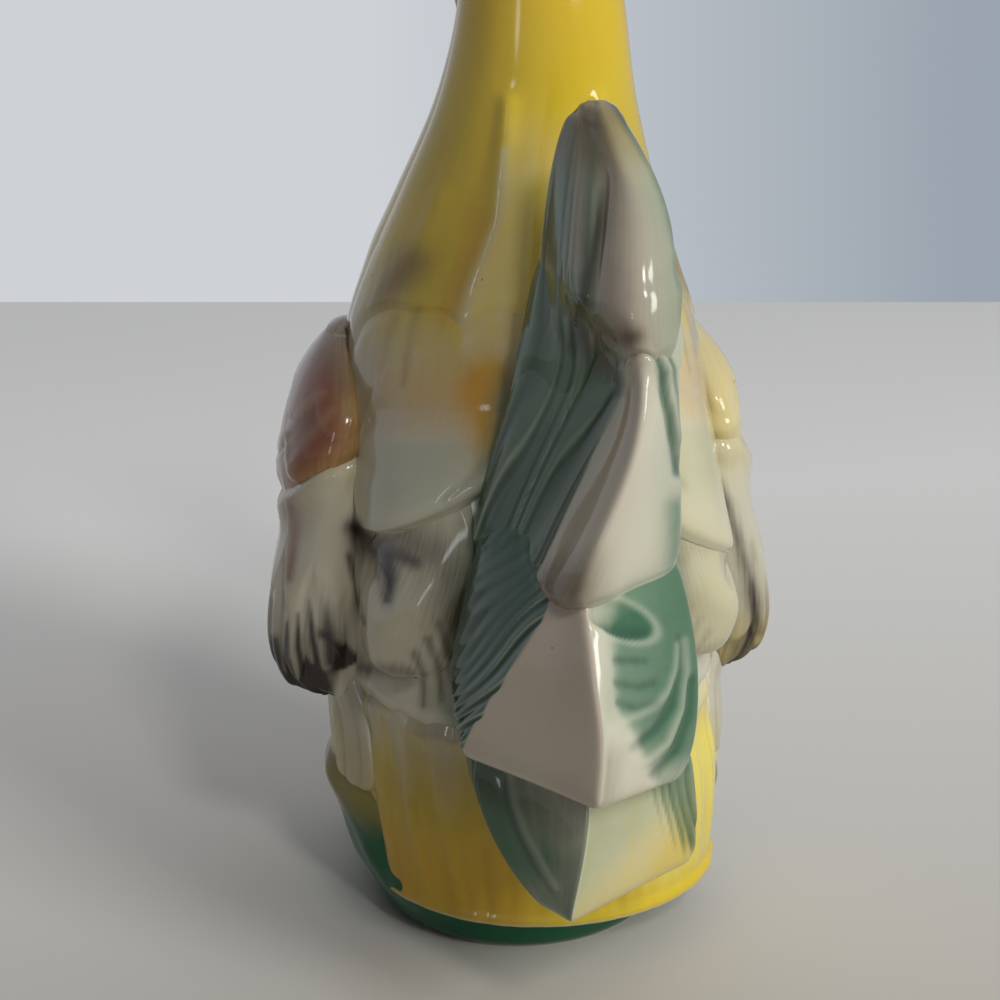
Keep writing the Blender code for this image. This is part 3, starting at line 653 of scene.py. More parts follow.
def back_orange(points):
    """The warm patch and brush strokes on the back, each side of the tail."""
    px, py = left_sheet(points)
    patch = 1.2 * stroke(px, py, [(492, 386), (498, 406), (502, 436)], 29.0)
    haze = 0.40 * stroke(px, py, [(380, 388), (460, 396)], 40.0) * ebb(py, 432, 448)
    lines = stroke(px, py, [(484, 225), (464, 275), (446, 320)], 17.0, 10.0)
    return (np.maximum(patch, 0.45 * lines) + haze) * step(points[:, :, 1], 0, 8)


def back_umber(points):
    """Grey-brown feather tips where the hackle meets the wings, with painted shade under them, and a faint
    band of painted shade round 119 mm high.
    """
    px, py = left_sheet(points)
    marks = strokes(
        px, py,
        # The broad first mark: grey-brown tips with painted shade under their lower edge.
        (0.5, [(412, 262), (386, 288), (356, 312)], 22.0, 17.0),
        (0.25, [(398, 318), (386, 345), (378, 385)], 6.0, 4.0),
        (0.25, [(420, 310), (410, 345), (404, 385)], 6.0, 4.0),
        (0.20, [(366, 325), (372, 420)], 20.0),
    )
    # A faint band of painted shade round 119 mm high, away from the paler area past the fold.
    hem = 0.16 * bell(points[:, :, 2], 119.0, 8.0) * (1 - past_fold(points))
    return (marks + hem) * step(points[:, :, 1], -14, -4)


def side_strokes(points):
    """Black brush strokes on the flank, under the saddle's hem, with painted shade: a dark line in the gap
    beside the wing, a grey mist near the tail root and a dark line under the flank's lower edge.
    """
    px, py = left_sheet(points)
    marks = strokes(
        px, py,
        (1.0, [(354, 527), (370, 543), (386, 556)], 10.0, 22.0),
        (1.0, [(385, 558), (390, 578), (387, 600)], 17.0, 6.0),
        (0.85, [(386, 556), (400, 556), (416, 562)], 18.0, 10.0),
        # A dark line in the gap between wing and flank: painted shade.
        (0.7, [(349, 556), (356, 590), (364, 624)], 4.0, 2.5),
        # A grey mist near the tail root: painted shade between the saddle's hem and the flank.
        (0.42, [(402, 545), (440, 560), (452, 618)], 27.0, 28.0),
        # A dark line under the flank's lower edge: painted shade.
        (0.6, [(338, 660), (372, 668), (410, 672)], 5.0, 8.0),
        (0.6, [(428, 640), (438, 665), (444, 698)], 6.0, 3.0),
        (0.6, [(440, 624), (450, 658), (457, 694)], 7.0, 3.0),
        (0.6, [(415, 655), (424, 676), (428, 702)], 6.0, 3.0),
        (0.45, [(450, 590), (458, 625), (462, 662)], 8.0, 6.0),
    )
    return marks * step(points[:, :, 1], 0, 6) * (0.4 + 0.6 * step(points[:, :, 0], -3, 3))


def neck_yellow(points):
    """Yellow from the neck, thinning to cream down the back and past the fold, where the paler area is
    partly painted light.
    """
    return step(points[:, :, 2], 98.0, 119.0) * (1 - 0.4 * past_fold(points))


# Trunk
SKIRT_COUNT = 320
HEM = ((9.0, 4.0), (6.0, 1.4), (3.6, 0.2), (2.0, -0.35), (0.9, -0.45), (0.3, -0.3))
levels = np.concatenate((np.linspace(8.0, 12.0, 14, endpoint=False), np.linspace(12.0, 53.0, 70)))
grid = ovals(SKIRT, levels, SKIRT_COUNT)
z = grid[:, :, 2]
angle = np.broadcast_to(turns(SKIRT_COUNT), z.shape)
wander = angle + 0.05 * np.sin(3 * angle + 0.8) + 0.03 * np.sin(7 * angle + z * 0.05)
broad = np.abs(np.sin(12 * wander)) ** 0.7 - 1
fine = np.abs(np.sin(27 * wander + 0.4 * np.sin(5 * angle))) ** 0.8 - 1
fade = np.interp(z, (8.0, 11.0, 20.0, 40.0, 50.0), (0.15, 0.35, 0.8, 1.0, 0.7))
lip = 0.5 * bell(z, 9.0, 1.0) * ebb(grid[:, :, 0], 15, 22)
grid = tucked(raised(grid, (0.75 * broad + 0.45 * fine) * fade + lip), HEM)
groove = np.concatenate((np.zeros((len(HEM), SKIRT_COUNT)), -(0.6 * broad + 0.5 * fine) * fade))
x, y, z = grid.transpose(2, 0, 1)
angle = np.broadcast_to(angle[0], z.shape)
streak = 0.5 + 0.5 * np.sin(27 * angle + 1.5 * np.sin(4 * angle))
add(
    "glazed_skirt_plumage", ["skirt_plumage"], "skirt_yellow", grid,
    {
        "yellow": ebb(z - 5.0 * streak * step(z, 15, 35), 24.0, 48.0),
        # lemon: a lighter band at mid height, mostly kept off the left side; low on the right side it is
        # painted light where the lamps fall.
        "lemon": 0.55 * step(z, 14.0, 34.0) * ebb(z, 34.0, 48.0) * (1 - 0.8 * step(x, -6, 8))
        + 0.7 * ebb(x, -20, -8) * step(z, 9, 14) * ebb(z, 30, 44),
        "orange": 0.35 * groove * ebb(z, 16, 40) + 0.55 * step(x, 0, 12) * ebb(z, 14, 38),
        "umber": 0.28 * step(x, 4, 18) * step(y, 0, 12) * step(z, 16, 34),
        "pale": bell(z, 7.7, 0.5),
        "dark": 0.9 * side_strokes(grid) + 0.25 * groove * step(z, 42, 50) * step(np.sin(angle), 0.2, 0.8),
    },
    low=0.2, high=0.5,
)

BODY_COUNT = 260
grid = ovals(BODY, np.linspace(38.5, 119.5, 170), BODY_COUNT)
z = grid[:, :, 2]
turn = np.broadcast_to(turns(BODY_COUNT), z.shape)
breast = step(-np.sin(turn), 0.05, 0.4) * step(z, 47.0, 55.0) * ebb(z, 106.0, 112.0)
height, edge, shaft = scales(turn / math.pi - 1.0, (108.0 - z) / 56.0, 6, 9)
hairs = np.sin(turn * 160.0) * breast * height
grid = raised(grid, breast * (0.9 * (height - 0.45) + 0.15 * shaft) + 0.05 * hairs)
add(
    "glazed_body", ["body_shell"], "body_cream", grid,
    {
        "yellow": neck_yellow(grid) + 0.22 * breast * (1 - height),
        "orange": back_orange(grid) + 0.20 * breast * step(z, 88.0, 108.0) * edge,
        "umber": back_umber(grid) + 0.25 * bell(z, 66.0, 10.0) * step(grid[:, :, 1], 10, 22)
        + breast * (0.30 * edge + 0.12 * shaft),
        "green": 0.85 * tail_halo(grid),
        "dark": side_strokes(grid),
    },
)

# Neck: the hem dips into feather tips at the front and sides, and runs out on the back
NECK_COUNT, NECK_FEATHERS, NECK_HEM = 300, 13, 108.0
NECK_TUCK = ((6.0, 7.0), (4.2, 3.5), (2.6, 1.2), (1.2, 0.1))
levels = np.concatenate((np.linspace(NECK_HEM, 126.0, 56, endpoint=False), np.linspace(126.0, 176.0, 90)))
grid = ovals(NECK, levels, NECK_COUNT)
turn = turns(NECK_COUNT)
phase = turn / math.tau * NECK_FEATHERS
ridge = np.abs(np.sin(np.pi * phase)) ** 0.7 - 1
tip = 6.0 * (np.abs(np.sin(np.pi * (phase + 0.5))) ** 0.7 - 1)
above = (levels - NECK_HEM)[:, None]
behind = step(np.sin(turn), 0.05, 0.40)
drop = (tip + 3.5 * step(np.sin(turn), 0.0, 0.5)) * (1 - behind) - 11.0 * behind
grid[:, :, 2] += drop * ebb(above, 0.0, 15.0)
fade = np.interp(levels, (NECK_HEM, 112.0, 146.0, 168.0), (1.0, 1.0, 0.5, 0.0))[:, None]
fine = np.abs(np.sin(np.pi * phase * 4 + 0.6 * np.sin(above * 0.1))) - 0.6
relief = fade * (0.55 * ridge + 0.10 * fine * ebb(above, 6, 26)) * (1 - 0.7 * behind)
relief = relief - 0.5 * bell(above, 0.0, 1.2)
px, py = left_sheet(grid)
fold = 1.15 * stroke(px, py, FOLD, 10.0, 12.0)
fold = fold + 0.6 * stroke(px, py, [(440, 200), (418, 245), (385, 290), (356, 318)], 12.0, 11.0)
relief = relief + 0.7 * fold * step(grid[:, :, 1], -8, 2)
grid = tucked(raised(grid, relief, 1), NECK_TUCK)
z = grid[:, :, 2]
brush = 0.5 + 0.5 * np.sin(2.1 * phase + 1.3 * np.sin(5.3 * phase) + z * 0.03)
seam = np.concatenate((np.zeros((len(NECK_TUCK), NECK_COUNT)), -ridge * fade))
rear = step(grid[:, :, 1], -6, 2)
px, py = left_sheet(grid)
# Past the fold the neck is paler, partly by paint and partly by painted light for the glare there.
pale_paint_and_light = 0.4 * past_fold(grid)
# A lemon strip beside the tail: painted light where the tail shades the neck.
painted_light_by_tail = stroke(px, py, [(536, 190), (532, 250), (524, 310)], 16.0)
add(
    "glazed_neck_hackle", ["neck_hackle"], "hackle_yellow", grid,
    {
        "yellow": step(z + 5.0 * (brush - 0.5) + 3.0 * rear, 103.0, 124.0) * (1 - pale_paint_and_light),
        "orange": 0.75 * brush * bell(z, 117.0, 9.0) * (1 - rear) + 0.25 * seam * ebb(z, 140, 160)
        + rear * back_orange(grid) + 0.22 * step(z, 146, 166),
        # lemon: the paler area past the fold, and the painted light beside the tail
        "lemon": rear * (0.35 * pale_paint_and_light + 0.75 * painted_light_by_tail),
        # pale: a painted highlight along the crest of the fold
        "pale": 0.45 * rear * stroke(px, py, FOLD[1:], 4.0, 6.5),
        "umber": rear * (back_umber(grid) + 0.14 * bell(z, 139.0, 12.0) * (1 - 2.5 * pale_paint_and_light))
        + 0.4 * bell(z, 107.0, 4.0) * (1 - rear) * (0.4 + 0.6 * brush),
        "green": 0.4 * tail_halo(grid),
    },
    low=0.5, high=0.5,
)

# Head with its fittings
grid = ovals(HEAD, np.linspace(168.5, 193.0, 70), 120)
x, y, z = grid.transpose(2, 0, 1)
side = np.abs(x)
face = bell(y, -6.5, 7.5) * bell(z, 179.5, 6.5) * step(side, 3.0, 8.0)
brow = bell(y, -6.0, 4.0) * bell(z, 184.4, 1.4) * step(side, 5.0, 8.5)
cheek = bell(y, -5.0, 4.5) * bell(z, 176.0, 3.0) * step(side, 5.0, 9.0)
socket = bell(y, -6.6, 2.6) * bell(z, 181.2, 2.2) * step(side, 5.0, 9.0)
pebble = ripple(grid, 1.7, 11)
red = step(face + 0.4 * bell(y, -13.0, 4.0), 0.28, 0.55)
add(
    "glazed_head", ["head"], "head_red",
    raised(grid, 0.6 * brow + 0.7 * cheek - 0.6 * socket + 0.09 * pebble * face),
    {
        "yellow": 1.0,
        "orange": 0.4 * bell(z, 172.0, 6.0),
        "red": red + step(z, 187.0, 190.0) * bell(side, 0.0, 4.0),
    },
)

EYE_COUNT, EYE_RADIUS, EYE_BULGE, EYE_ROOT = 40, 2.1, 0.95, 1.6
EYE_X, EYE_Y, EYE_Z = 11.0, -6.6, 181.2
turn = turns(EYE_COUNT)
rings = []
for t in np.linspace(0.12, 1.0, 14)[::-1]:
    radius = EYE_RADIUS * math.sin(t * math.pi / 2)
    bulge = EYE_BULGE * math.cos(t * math.pi / 2)
    rings.append(np.stack((np.full(EYE_COUNT, bulge), radius * np.cos(turn), radius * np.sin(turn)), axis=1))
rings.insert(0, rings[0] * np.array((1.0, 0.8, 0.8)) - np.array((EYE_ROOT, 0.0, 0.0)))
grid = np.array(rings)
reach = np.hypot(grid[:, :, 1], grid[:, :, 2])
for sign, word in SIDES:
    add(
        "painted_eye_" + word, [], "head_red",
        grid * np.array((sign, sign, 1.0)) + np.array((sign * EYE_X, EYE_Y, EYE_Z)),
        {
            "yellow": step(reach, 1.05, 1.2) * ebb(reach, 1.6, 1.75),
            "orange": 0.6 * step(reach, 1.05, 1.2),
            "dark": ebb(reach, 1.0, 1.15) + step(reach, 1.65, 1.8),
        },
        low=0.0, high=0.0,
    )

COMB_POINTS = 5
COMB_COUNT = 44
along = np.linspace(0.0, 1.0, 150)
turn = turns(COMB_COUNT)
lift = np.sin(turn)
rings = []
for t in along:
    y = 15.0 - 29.0 * t
    crown = 193.0 - 0.055 * (y + 1.0) ** 2
    swell = math.sin(math.pi * min(max(t, 0.02), 0.98)) ** 0.5
    point = (0.5 - 0.5 * math.cos(math.tau * COMB_POINTS * t)) ** 0.85
    top = crown + swell * (7.0 + 5.0 * point)
    bottom = crown - 4.0 * swell - 0.4
    thick = 2.6 * (0.35 + 0.65 * swell)
    across = thick * np.cos(turn) * (1.0 - 0.35 * np.clip(lift, 0, 1) ** 2)
    high = (top + bottom) / 2 + (top - bottom) / 2 * lift
    rings.append(np.stack((across, np.full(COMB_COUNT, y), high), axis=1))
grid = np.array(rings)
pebble = ripple(grid, 1.6, 5)
share = (along[:, None] * COMB_POINTS) % 1.0
dip = bell(share, 0.0, 0.16) + bell(share, 1.0, 0.16)
side = np.abs(np.cos(turn))[None, :]
grid[:, :, 0] += np.sign(np.cos(turn))[None, :] * (0.10 * pebble - 0.45 * dip * side) * side
add(
    "glazed_comb", ["comb"], "comb_red", grid,
    {"dark": 0.25 * dip * side, "orange": 0.25 * step(grid[:, :, 2], 198.0, 205.0)},
    low=0.0, high=0.0,
)

NET_COUNT = 12
net = [
    [(wide * math.cos(a), y, z + tall * math.sin(a)) for a in -turns(NET_COUNT)]
    for y, z, wide, tall in BEAK
]
grid = net_grid(net, 70, np.linspace(0, NET_COUNT, 56, endpoint=False))
x, y, z = grid.transpose(2, 0, 1)
height = z - np.interp(y, (-28, -22, -16, -11), (175.4, 177.8, 179.4, 179.8))
mouth = bell(height, 0.0, 0.35) * step(y, -27.0, -24.0)
nostril = bell(height, 2.3, 0.6) * bell(y, -18.0, 1.2) * step(np.abs(x), 1.0, 2.0)
grid = raised(grid, -(0.5 * mouth + 0.7 * nostril))
y = grid[:, :, 1]
add(
    "glazed_beak", ["beak"], "beak_horn", grid,
    {
        "dark": 0.7 * mouth + 0.9 * nostril,
        "orange": 0.6 * step(y, -18.0, -12.0),
        "pale": 0.5 * ebb(y, -28.0, -22.0),
    },
    low=0.0, high=0.0,
)

net = [
    [(x + thick * math.cos(a), y + wide * math.sin(a), z) for a in turns(NET_COUNT)]
    for z, x, y, thick, wide in WATTLE
]
grid = net_grid(net, 56, np.linspace(0, NET_COUNT, 48, endpoint=False))
grid = raised(grid, 0.12 * ripple(grid, 1.8, 8))
for word, shape in (("left", grid), ("right", mirrored(grid))):
    add(
        "glazed_wattle_" + word, ["wattle_" + word], "comb_red", shape,
        {"dark": 0.2 * ebb(shape[:, :, 2], 157, 162)},
    )


def add_lobe(name, right, slot, grid, paint, flow, **ends):
    """Add a lobe that is drawn on the left side, mirrored if it belongs on the right."""
    flow = np.stack(flow, axis=2)
    if right:
        paint = {key: np.broadcast_to(value, flow.shape[:2])[:, ::-1] for key, value in paint.items()}
        grid, flow = mirrored(grid), flow[:, ::-1]
    name += "_right" if right else "_left"
    add("glazed_" + name, [name], slot, grid, paint, flow, **ends)


# Feather lobes, drawn on the left side and mirrored for the right, which is thinner and paler
for right in (False, True):
    inking = 0.3 if right else 1.0

    grid, z, a, up, face = lobe(WING, BOLD_RING, 150, 130, 0.86 if right else 1.0, blunt=0.4)
    lane = a * 6.4 - 0.2 + 0.25 * step(z, 50, 80)
    gap = seams(lane, 0.12)
    share = within(lane)
    tip_z = 45.0 + 2.2 * np.abs(np.floor(lane) - 3.0) + 16.0 * (share - 0.45) ** 2
    beyond = ebb(z, tip_z - 0.8, tip_z + 0.8) * face
    fan_a = a * 4.9 + 0.05
    down = (80.0 - z) / 16.0
    covert = np.where(down < tip_reach(2 * (fan_a % 1) - 1), 1.0, 0.0)
    cov_h, cov_edge, cov_shaft = scales(fan_a / 5, down, 1, 5)
    quill = 0.85 * barbs(lane) + 0.2 * bell(share, 0.46, 0.07) - 0.8 * beyond
    relief = quill * (1 - covert) + covert * (0.55 * cov_h + 0.1 * cov_shaft)
    grid = raised(grid, relief * face, 2)
    px, py = sheet(grid)
    rust = stroke(px, py, [(297, 492), (294, 535), (289, 578)], 8.0, 5.0)
    if right:
        px, py = (where[:, ::-1] for where in sheet(mirrored(grid)))
        inked = strokes(
            px, py,
            (0.62, [(704, 446), (722, 490), (738, 540), (754, 606)], 5.0, 8.0),
            (0.62, [(716, 480), (736, 530), (752, 590), (758, 632)], 4.0, 6.0),
            (0.62, [(706, 556), (716, 585), (724, 612)], 4.0, 3.0),
        )
        inner = 1.0
    else:
        inked = strokes(
            px, py,
            (1.0, [(321, 584), (328, 622), (332, 660)], 6.0, 11.0),
            (1.0, [(324, 634), (340, 650), (362, 662)], 9.0, 5.0),
            (1.0, [(309, 600), (313, 640), (321, 684)], 2.5, 6.0),
            (1.0, [(298, 614), (298, 648), (306, 690)], 2.0, 5.0),
            (1.0, [(287, 622), (286, 656), (295, 688)], 2.0, 4.5),
            (1.0, [(274, 640), (279, 672), (297, 694), (326, 704)], 5.0, 8.0),
        ) * (0.15 + 0.85 * step(py, 585, 640))
        inner = ebb(px - np.interp(py, (600, 644, 661, 672, 705), (356, 362, 357, 337, 330)), -3, 6)
    front = ebb(grid[:, :, 1], -22, -8)
    inked = np.maximum(inked, front * ebb(z, 48, 64) * (0.3 + 0.7 * gap))
    paint = {
        # Toward the wing's foot umber and dark build up: black airbrushed tips, partly painted shade,
        # stronger on the left.
        "umber": 0.45 * ebb(z, 50, 66) * face * inner + (0.08 if right else 0.0),
        "dark": inner * (
            inked + 0.35 * gap * ebb(z, 56, 72) + 0.8 * beyond + inking * side_strokes(grid)
            + (0.1 if right else 0.45) * ebb(z, 44, 54) * face
        ),
        "rust": 0.7 * rust + 0.4 * covert * cov_edge * ebb(a, 0.45, 0.7),
        "orange": 0.30 * ebb(a, 0.3, 0.6) * step(z, 50, 64),
        "yellow": (0.35 if right else 0.2) * step(z, 74, 92) + (0.6 if right else 0.0) * ebb(z, 45, 58),
    }
    add_lobe("wing", right, "wing_cream", grid, paint, (a * 46.0, z * 0.07), low=0.8, high=0.5)

    grid, z, a, up, face = lobe(WING_BOW, BOW_RING, 100, 96, 0.60 if right else 1.0, blunt=0.35)
    height, edge, shaft = scales(a * 0.94 + 0.05, (102.5 - z) / 26.0, 3, 4)
    px, py = sheet(grid)
    veins = strokes(
        px, py,
        (1.0, [(284, 446), (303, 424), (326, 396)], 3.5),
        (1.0, [(302, 470), (314, 440), (334, 412)], 3.5),
    )
    grid = raised(grid, (0.8 * (height - 0.35) + 0.15 * shaft + 0.35 * veins) * face, 2)
    if right:
        fading = ebb(a, 0.20, 0.42)
    else:
        fading = 1 - step(px - 0.12 * (py - 400), 328, 362) * step(a, 0.3, 0.5)
    foot = step(a, 0.1, 0.4) * step(py + 0.9 * (px - 290.0), 470, 526)
    paint = {
        "yellow": (0.16 if right else 0.25) * step(a, 0.3, 0.9),
        "lemon": (0.22 if right else 0.0) * step(a, 0.2, 0.6),
        "orange": (0.08 if right else 0.60) * step(a, 0.35, 0.7),
        "rust": fading * (1 - 0.12 * edge - 0.1 * veins) * (1 - foot),
        "umber": 0.30 * fading * np.clip(0.6 - height, 0, 1) * 1.6
        + (0.05 if right else 0.2) * step(z, 94, 102) + (0.06 if right else 0.30) * (1 - fading)
        + (0.0 if right else 0.15) * step(px, 312, 340),
        # pale: painted highlights along the raised veins and the scale edges
        "pale": 0.08 * veins * face + 0.04 * edge * face,
    }
    add_lobe("wing_bow", right, "wing_bow_rust", grid, paint, (a * 40.0, z * 0.08))

    grid, z, a, up, face = lobe(SADDLE, SOFT_RING, 100, 96, 1.15 if right else 1.0, 7.0 if right else 0.0)
    px, py = sheet(grid)
    crimp = stroke(px, py, [(446, 500), (470, 478), (492, 452)], 5.0)
    relief = -0.4 * crimp + 0.35 * stroke(px, py, [(456, 510), (480, 486), (500, 462)], 5.0)
    grid = raised(grid, relief * face, 2)
    paint = {
        "yellow": neck_yellow(grid) + (0.16 if right else 0.0),
        "orange": back_orange(grid),
        "umber": back_umber(grid) + 0.2 * crimp,
        # pale_green: a green-grey band under the orange patch, partly a tint and partly a painted reflection
        "pale_green": 0.20 * step(py, 434, 450) * ebb(py, 495, 530) * face,
        "green": 0.75 * tail_halo(grid),
        "dark": 0.5 * inking * side_strokes(grid) * ebb(up, 0.05, 0.15),
    }
    add_lobe("saddle", right, "body_cream", grid, paint, (a * 46.0, z * 0.07))

    grid, z, a, up, face = lobe(FLANK, SOFT_RING, 90, 90)
    px, py = sheet(grid)
    swell = stroke(px, py, [(385, 632), (415, 615)], 24.0)
    dent = stroke(px, py, [(352, 556), (372, 580), (384, 604)], 8.0)
    grid = raised(grid, (1.3 * swell - 0.8 * dent) * face, 2)
    paint = {
        "yellow": 0.16 if right else 0.06,
        # umber: the stroke near the tail is painted shade between the saddle's hem and the flank
        "umber": inking * (0.10 + 0.35 * stroke(px, py, [(410, 545), (452, 560), (462, 620)], 16.0)),
        "green": 0.8 * tail_halo(grid),
        # dark: the band along the lower edge is painted shade under the lobe
        "dark": inking * (side_strokes(grid) + 0.25 * ebb(up, 0.02, 0.1)),
    }
    add_lobe("flank", right, "body_cream", grid, paint, (a * 46.0, z * 0.07))

    grid, z, a, up, face = lobe(THIGH, SOFT_RING, 86, 86)
    lane = a * 8.0 + 1.2 * (1 - up) * (a - 0.5)
    relief = 0.55 * (np.abs(np.sin(np.pi * lane)) ** 0.7 - 1) * ebb(up, 0.55, 0.8)
    px, py = sheet(grid)
    knob = stroke(px, py, [(352, 676), (358, 684)], 19.0)
    grid = raised(grid, (relief * (1 - knob) + 2.2 * knob) * face, 1)
    # Toward its rear the thigh has less yellow and more umber: painted shade on its rear part.
    paint = {
        "yellow": 0.85 * ebb(z, 24.0, 42.0) * (1 - 0.55 * step(a, 0.55, 0.85)),
        "lemon": 0.35 * bell(z, 38.0, 8.0) * ebb(a, 0.6, 0.9),
        "green": ebb(z + 2.5 * np.sin(lane * 5.0), 15.0, 27.0),
        "umber": 0.3 * seams(lane, 0.15) * face * ebb(up, 0.6, 0.8) + 0.25 * step(z, 40, 52) * (1 - knob)
        + 0.22 * step(a, 0.55, 0.8),
        "dark": 0.5 * stroke(px, py, [(336, 660), (372, 700)], 5.0) * (1 - knob),
    }
    add_lobe("thigh", right, "body_cream", grid, paint, (a * 50.0, z * 0.07))

# Tail, from the top plume down. One fan of long barbs runs down the left side of the two upper plumes.
# Its edges on the rear drawing: heights, then places across.
FAN_LEFT = (
    (95.0, 125.0, 190.0, 240.0, 290.0, 360.0, 440.0, 540.0, 600.0),
    (578.0, 560.0, 545.0, 540.0, 535.0, 515.0, 498.0, 468.0, 452.0),
)
FAN_RIGHT = (
    (95.0, 125.0, 151.0, 233.0, 290.0, 315.0, 350.0, 370.0, 389.0, 440.0, 492.0, 535.0, 600.0),
    (594.0, 602.0, 604.0, 598.0, 590.0, 596.0, 640.0, 636.0, 624.0, 598.0, 574.0, 555.0, 526.0),
)
RIGHT_EDGE = (
    (100.0, 130.0, 170.0, 210.0, 250.0, 300.0, 380.0, 450.0, 560.0, 600.0),
    (605.0, 625.0, 650.0, 665.0, 673.0, 676.0, 677.0, 680.0, 683.0, 683.0),
)


def fan(px, py):
    """The fan of barbs: how far across it a point lies, 0 to 6, its lanes, and how deep they are cut."""
    left, right = (
        sum(np.interp(py + shift, *edge) for shift in (-36, -18, 0, 18, 36)) / 5
        for edge in (FAN_LEFT, FAN_RIGHT)
    )
    across = 6.0 * (px - left) / (right - left)
    low = step(py, 330, 520)
    lanes = across * 0.95 + 0.35 * np.sin(1.9 * across + 0.7) + 0.25 * np.sin(py * 0.013) + 0.8 * low
    depth = (0.35 + 0.45 * low) * (0.65 + 0.35 * np.sin(2.3 * np.floor(lanes) + 0.5))
    return across, lanes, depth * (1 - step(across, 3.2, 5.0) * ebb(py, 310, 400))


def fan_paint(px, py, across, lanes, on_fan):
    """The fan's greys and greens, darker toward its foot, with painted highlights along the barb edges."""
    low = step(py, 330, 540)
    ridge = step(across, 2.4, 4.2) * ebb(py, 300, 380)
    # Painted highlights on the falling edges of the barbs.
    edges = bell(within(lanes), 0.70, 0.07) * step(py, 320, 430) * np.abs(np.sin(1.7 * np.floor(lanes)))
    return {
        "pale_green": 0.95 * on_fan,
        "green": on_fan * (0.55 + 0.35 * low) * (1 - 0.75 * ridge),
        "umber": 0.20 * on_fan * ridge + 0.08 * on_fan,
        "deep": on_fan * (0.55 * seams(lanes, 0.2) * (1 - ridge) + 0.12 + 0.30 * low),
        "pale": 0.40 * on_fan * edges,
    }


def lay(paint, **more):
    """Lay more paint on top of some maps."""
    for key, amount in more.items():
        paint[key] = paint.get(key, 0.0) + amount


def right_barbs(s, first, wide, low, high):
    """Lanes of the barbs on a plume's right side, and where they show."""
    return (s - first) / wide * 4.0, step(s, low, high) * ebb(s, 11.4, 12.0)


def wall_terms(deep, high):
    """Terms of a smooth surface over depth and height."""
    return np.stack((np.ones_like(deep), deep, high, deep * deep, deep * high, high * high), axis=-1)


upper = plume(TAIL_UPPER, 0.3, 9.0, 7.0, 0.08)
grid, s, t = finger(TAIL_SICKLE)

# Low down, the top feather's left side closes gently onto the plume below
side = upper[0][(upper[1] > 0.3) & (upper[1] < 2.2) & (np.abs(upper[0][:, :, 2] - 109.0) < 11.0)]
shape = np.linalg.lstsq(wall_terms(side[:, 1], side[:, 2]), side[:, 0], rcond=None)[0]
x, y, z = grid.transpose(2, 0, 1)
meet = wall_terms(y, z) @ shape - 0.6 + 1.3 * step(z, 100.0, 120.0)
close = ebb(z, 112.0, 126.0) * ebb(s, 2.6, 3.6) * step(y, 27.5, 31.0)
grid = np.stack((x + close * (meet - x), y, z), axis=2)
px, py = sheet(grid)
across, lanes, depth = fan(px, py)
rounded = ebb(z, 138.0, 148.0)
zone = step(s, 0.05, 0.4) * ebb(across, 4.4, 6.0) * (s < 6.5) * rounded
right_lane, right_zone = right_barbs(s, 9.5, 2.5, 9.6, 10.2)
valley = (s < 7.0) * stroke(px, py, [(604, 160), (602, 190), (598, 233), (590, 290), (586, 330)], 6.0, 8.0)
relief = (0.5 + 0.7 * step(py, 230, 330)) * depth * barbs(lanes) * zone
relief = relief + 0.4 * barbs(right_lane) * right_zone * rounded - 0.6 * valley * step(py, 140, 200)
grid = raised(grid, relief, 3)
px, py = sheet(grid)
across, lanes, depth = fan(px, py)
rim = px - np.interp(py, *RIGHT_EDGE) - 5.0
rear = (s > 0.3) * ebb(s, 9.7, 10.3)
on_fan = rear * ebb(across, 4.8, 6.6) * step(py, 108, 130)
facing = rear * step(across, 4.8, 6.6)
# Umber down the lower valley: painted shade.
valley_shade = rear * stroke(px, py, [(600, 212), (594, 250), (588, 288), (582, 345)], 11.0, 17.0)
brown = (s < 7.0) * stroke(px, py, [(586, 116), (581, 150), (578, 210), (575, 268)], 10.0, 6.0)
# Dark brown under the nose: a painted shadow.
foot = (s < 8) * stroke(px, py, [(598, 336), (616, 338), (636, 336)], 13.0, 8.0)
# Deep green down the valley: painted shade in its crease.
furrow = (s < 7.0) * stroke(
    px, py, [(602, 190), (598, 225), (593, 255), (587, 285), (578, 315), (575, 345)], 6.0, 9.0)
top = ebb(py, 120, 200) * (s < 10)
paint = fan_paint(px, py, across, lanes, on_fan)
lay(
    paint,
    pale_green=0.55 * facing * step(rim, -50, -6),
    green=facing * 0.7 * step(rim, -10, 0) + 0.75 * step(s, 9.6, 10.1) * (s < 13) * rounded,
    # deep: the valley's painted shade, and a dark line along the right edge
    deep=0.95 * furrow * step(py, 165, 235) + 0.8 * facing * step(rim, -3, 1),
)
for key in ("green", "deep", "pale_green", "pale"):
    paint[key] = paint[key] * (1 - 0.8 * brown)
lay(
    paint,
    warm=0.85 * facing + 0.45 * brown,
    yellow=0.35 * top,
    # umber: painted shade along the valley and a painted shadow under the nose, besides the darker top and
    # the fan's umber
    umber=0.12 * valley_shade + 0.5 * ebb(py, 112, 190) * (s < 10) + facing * (0.08 + 0.15 * ebb(rim, -62, -16))
    + 0.6 * foot + 0.12 * brown,
    fill=step(s, 3.0, 3.8),
)
add(
    "glazed_tail_sickle", ["tail_sickle"], "tail_green", grid, paint,
    np.stack((s * 4.0, t * 3.0), axis=2), low=0.8, high=0.25,
)

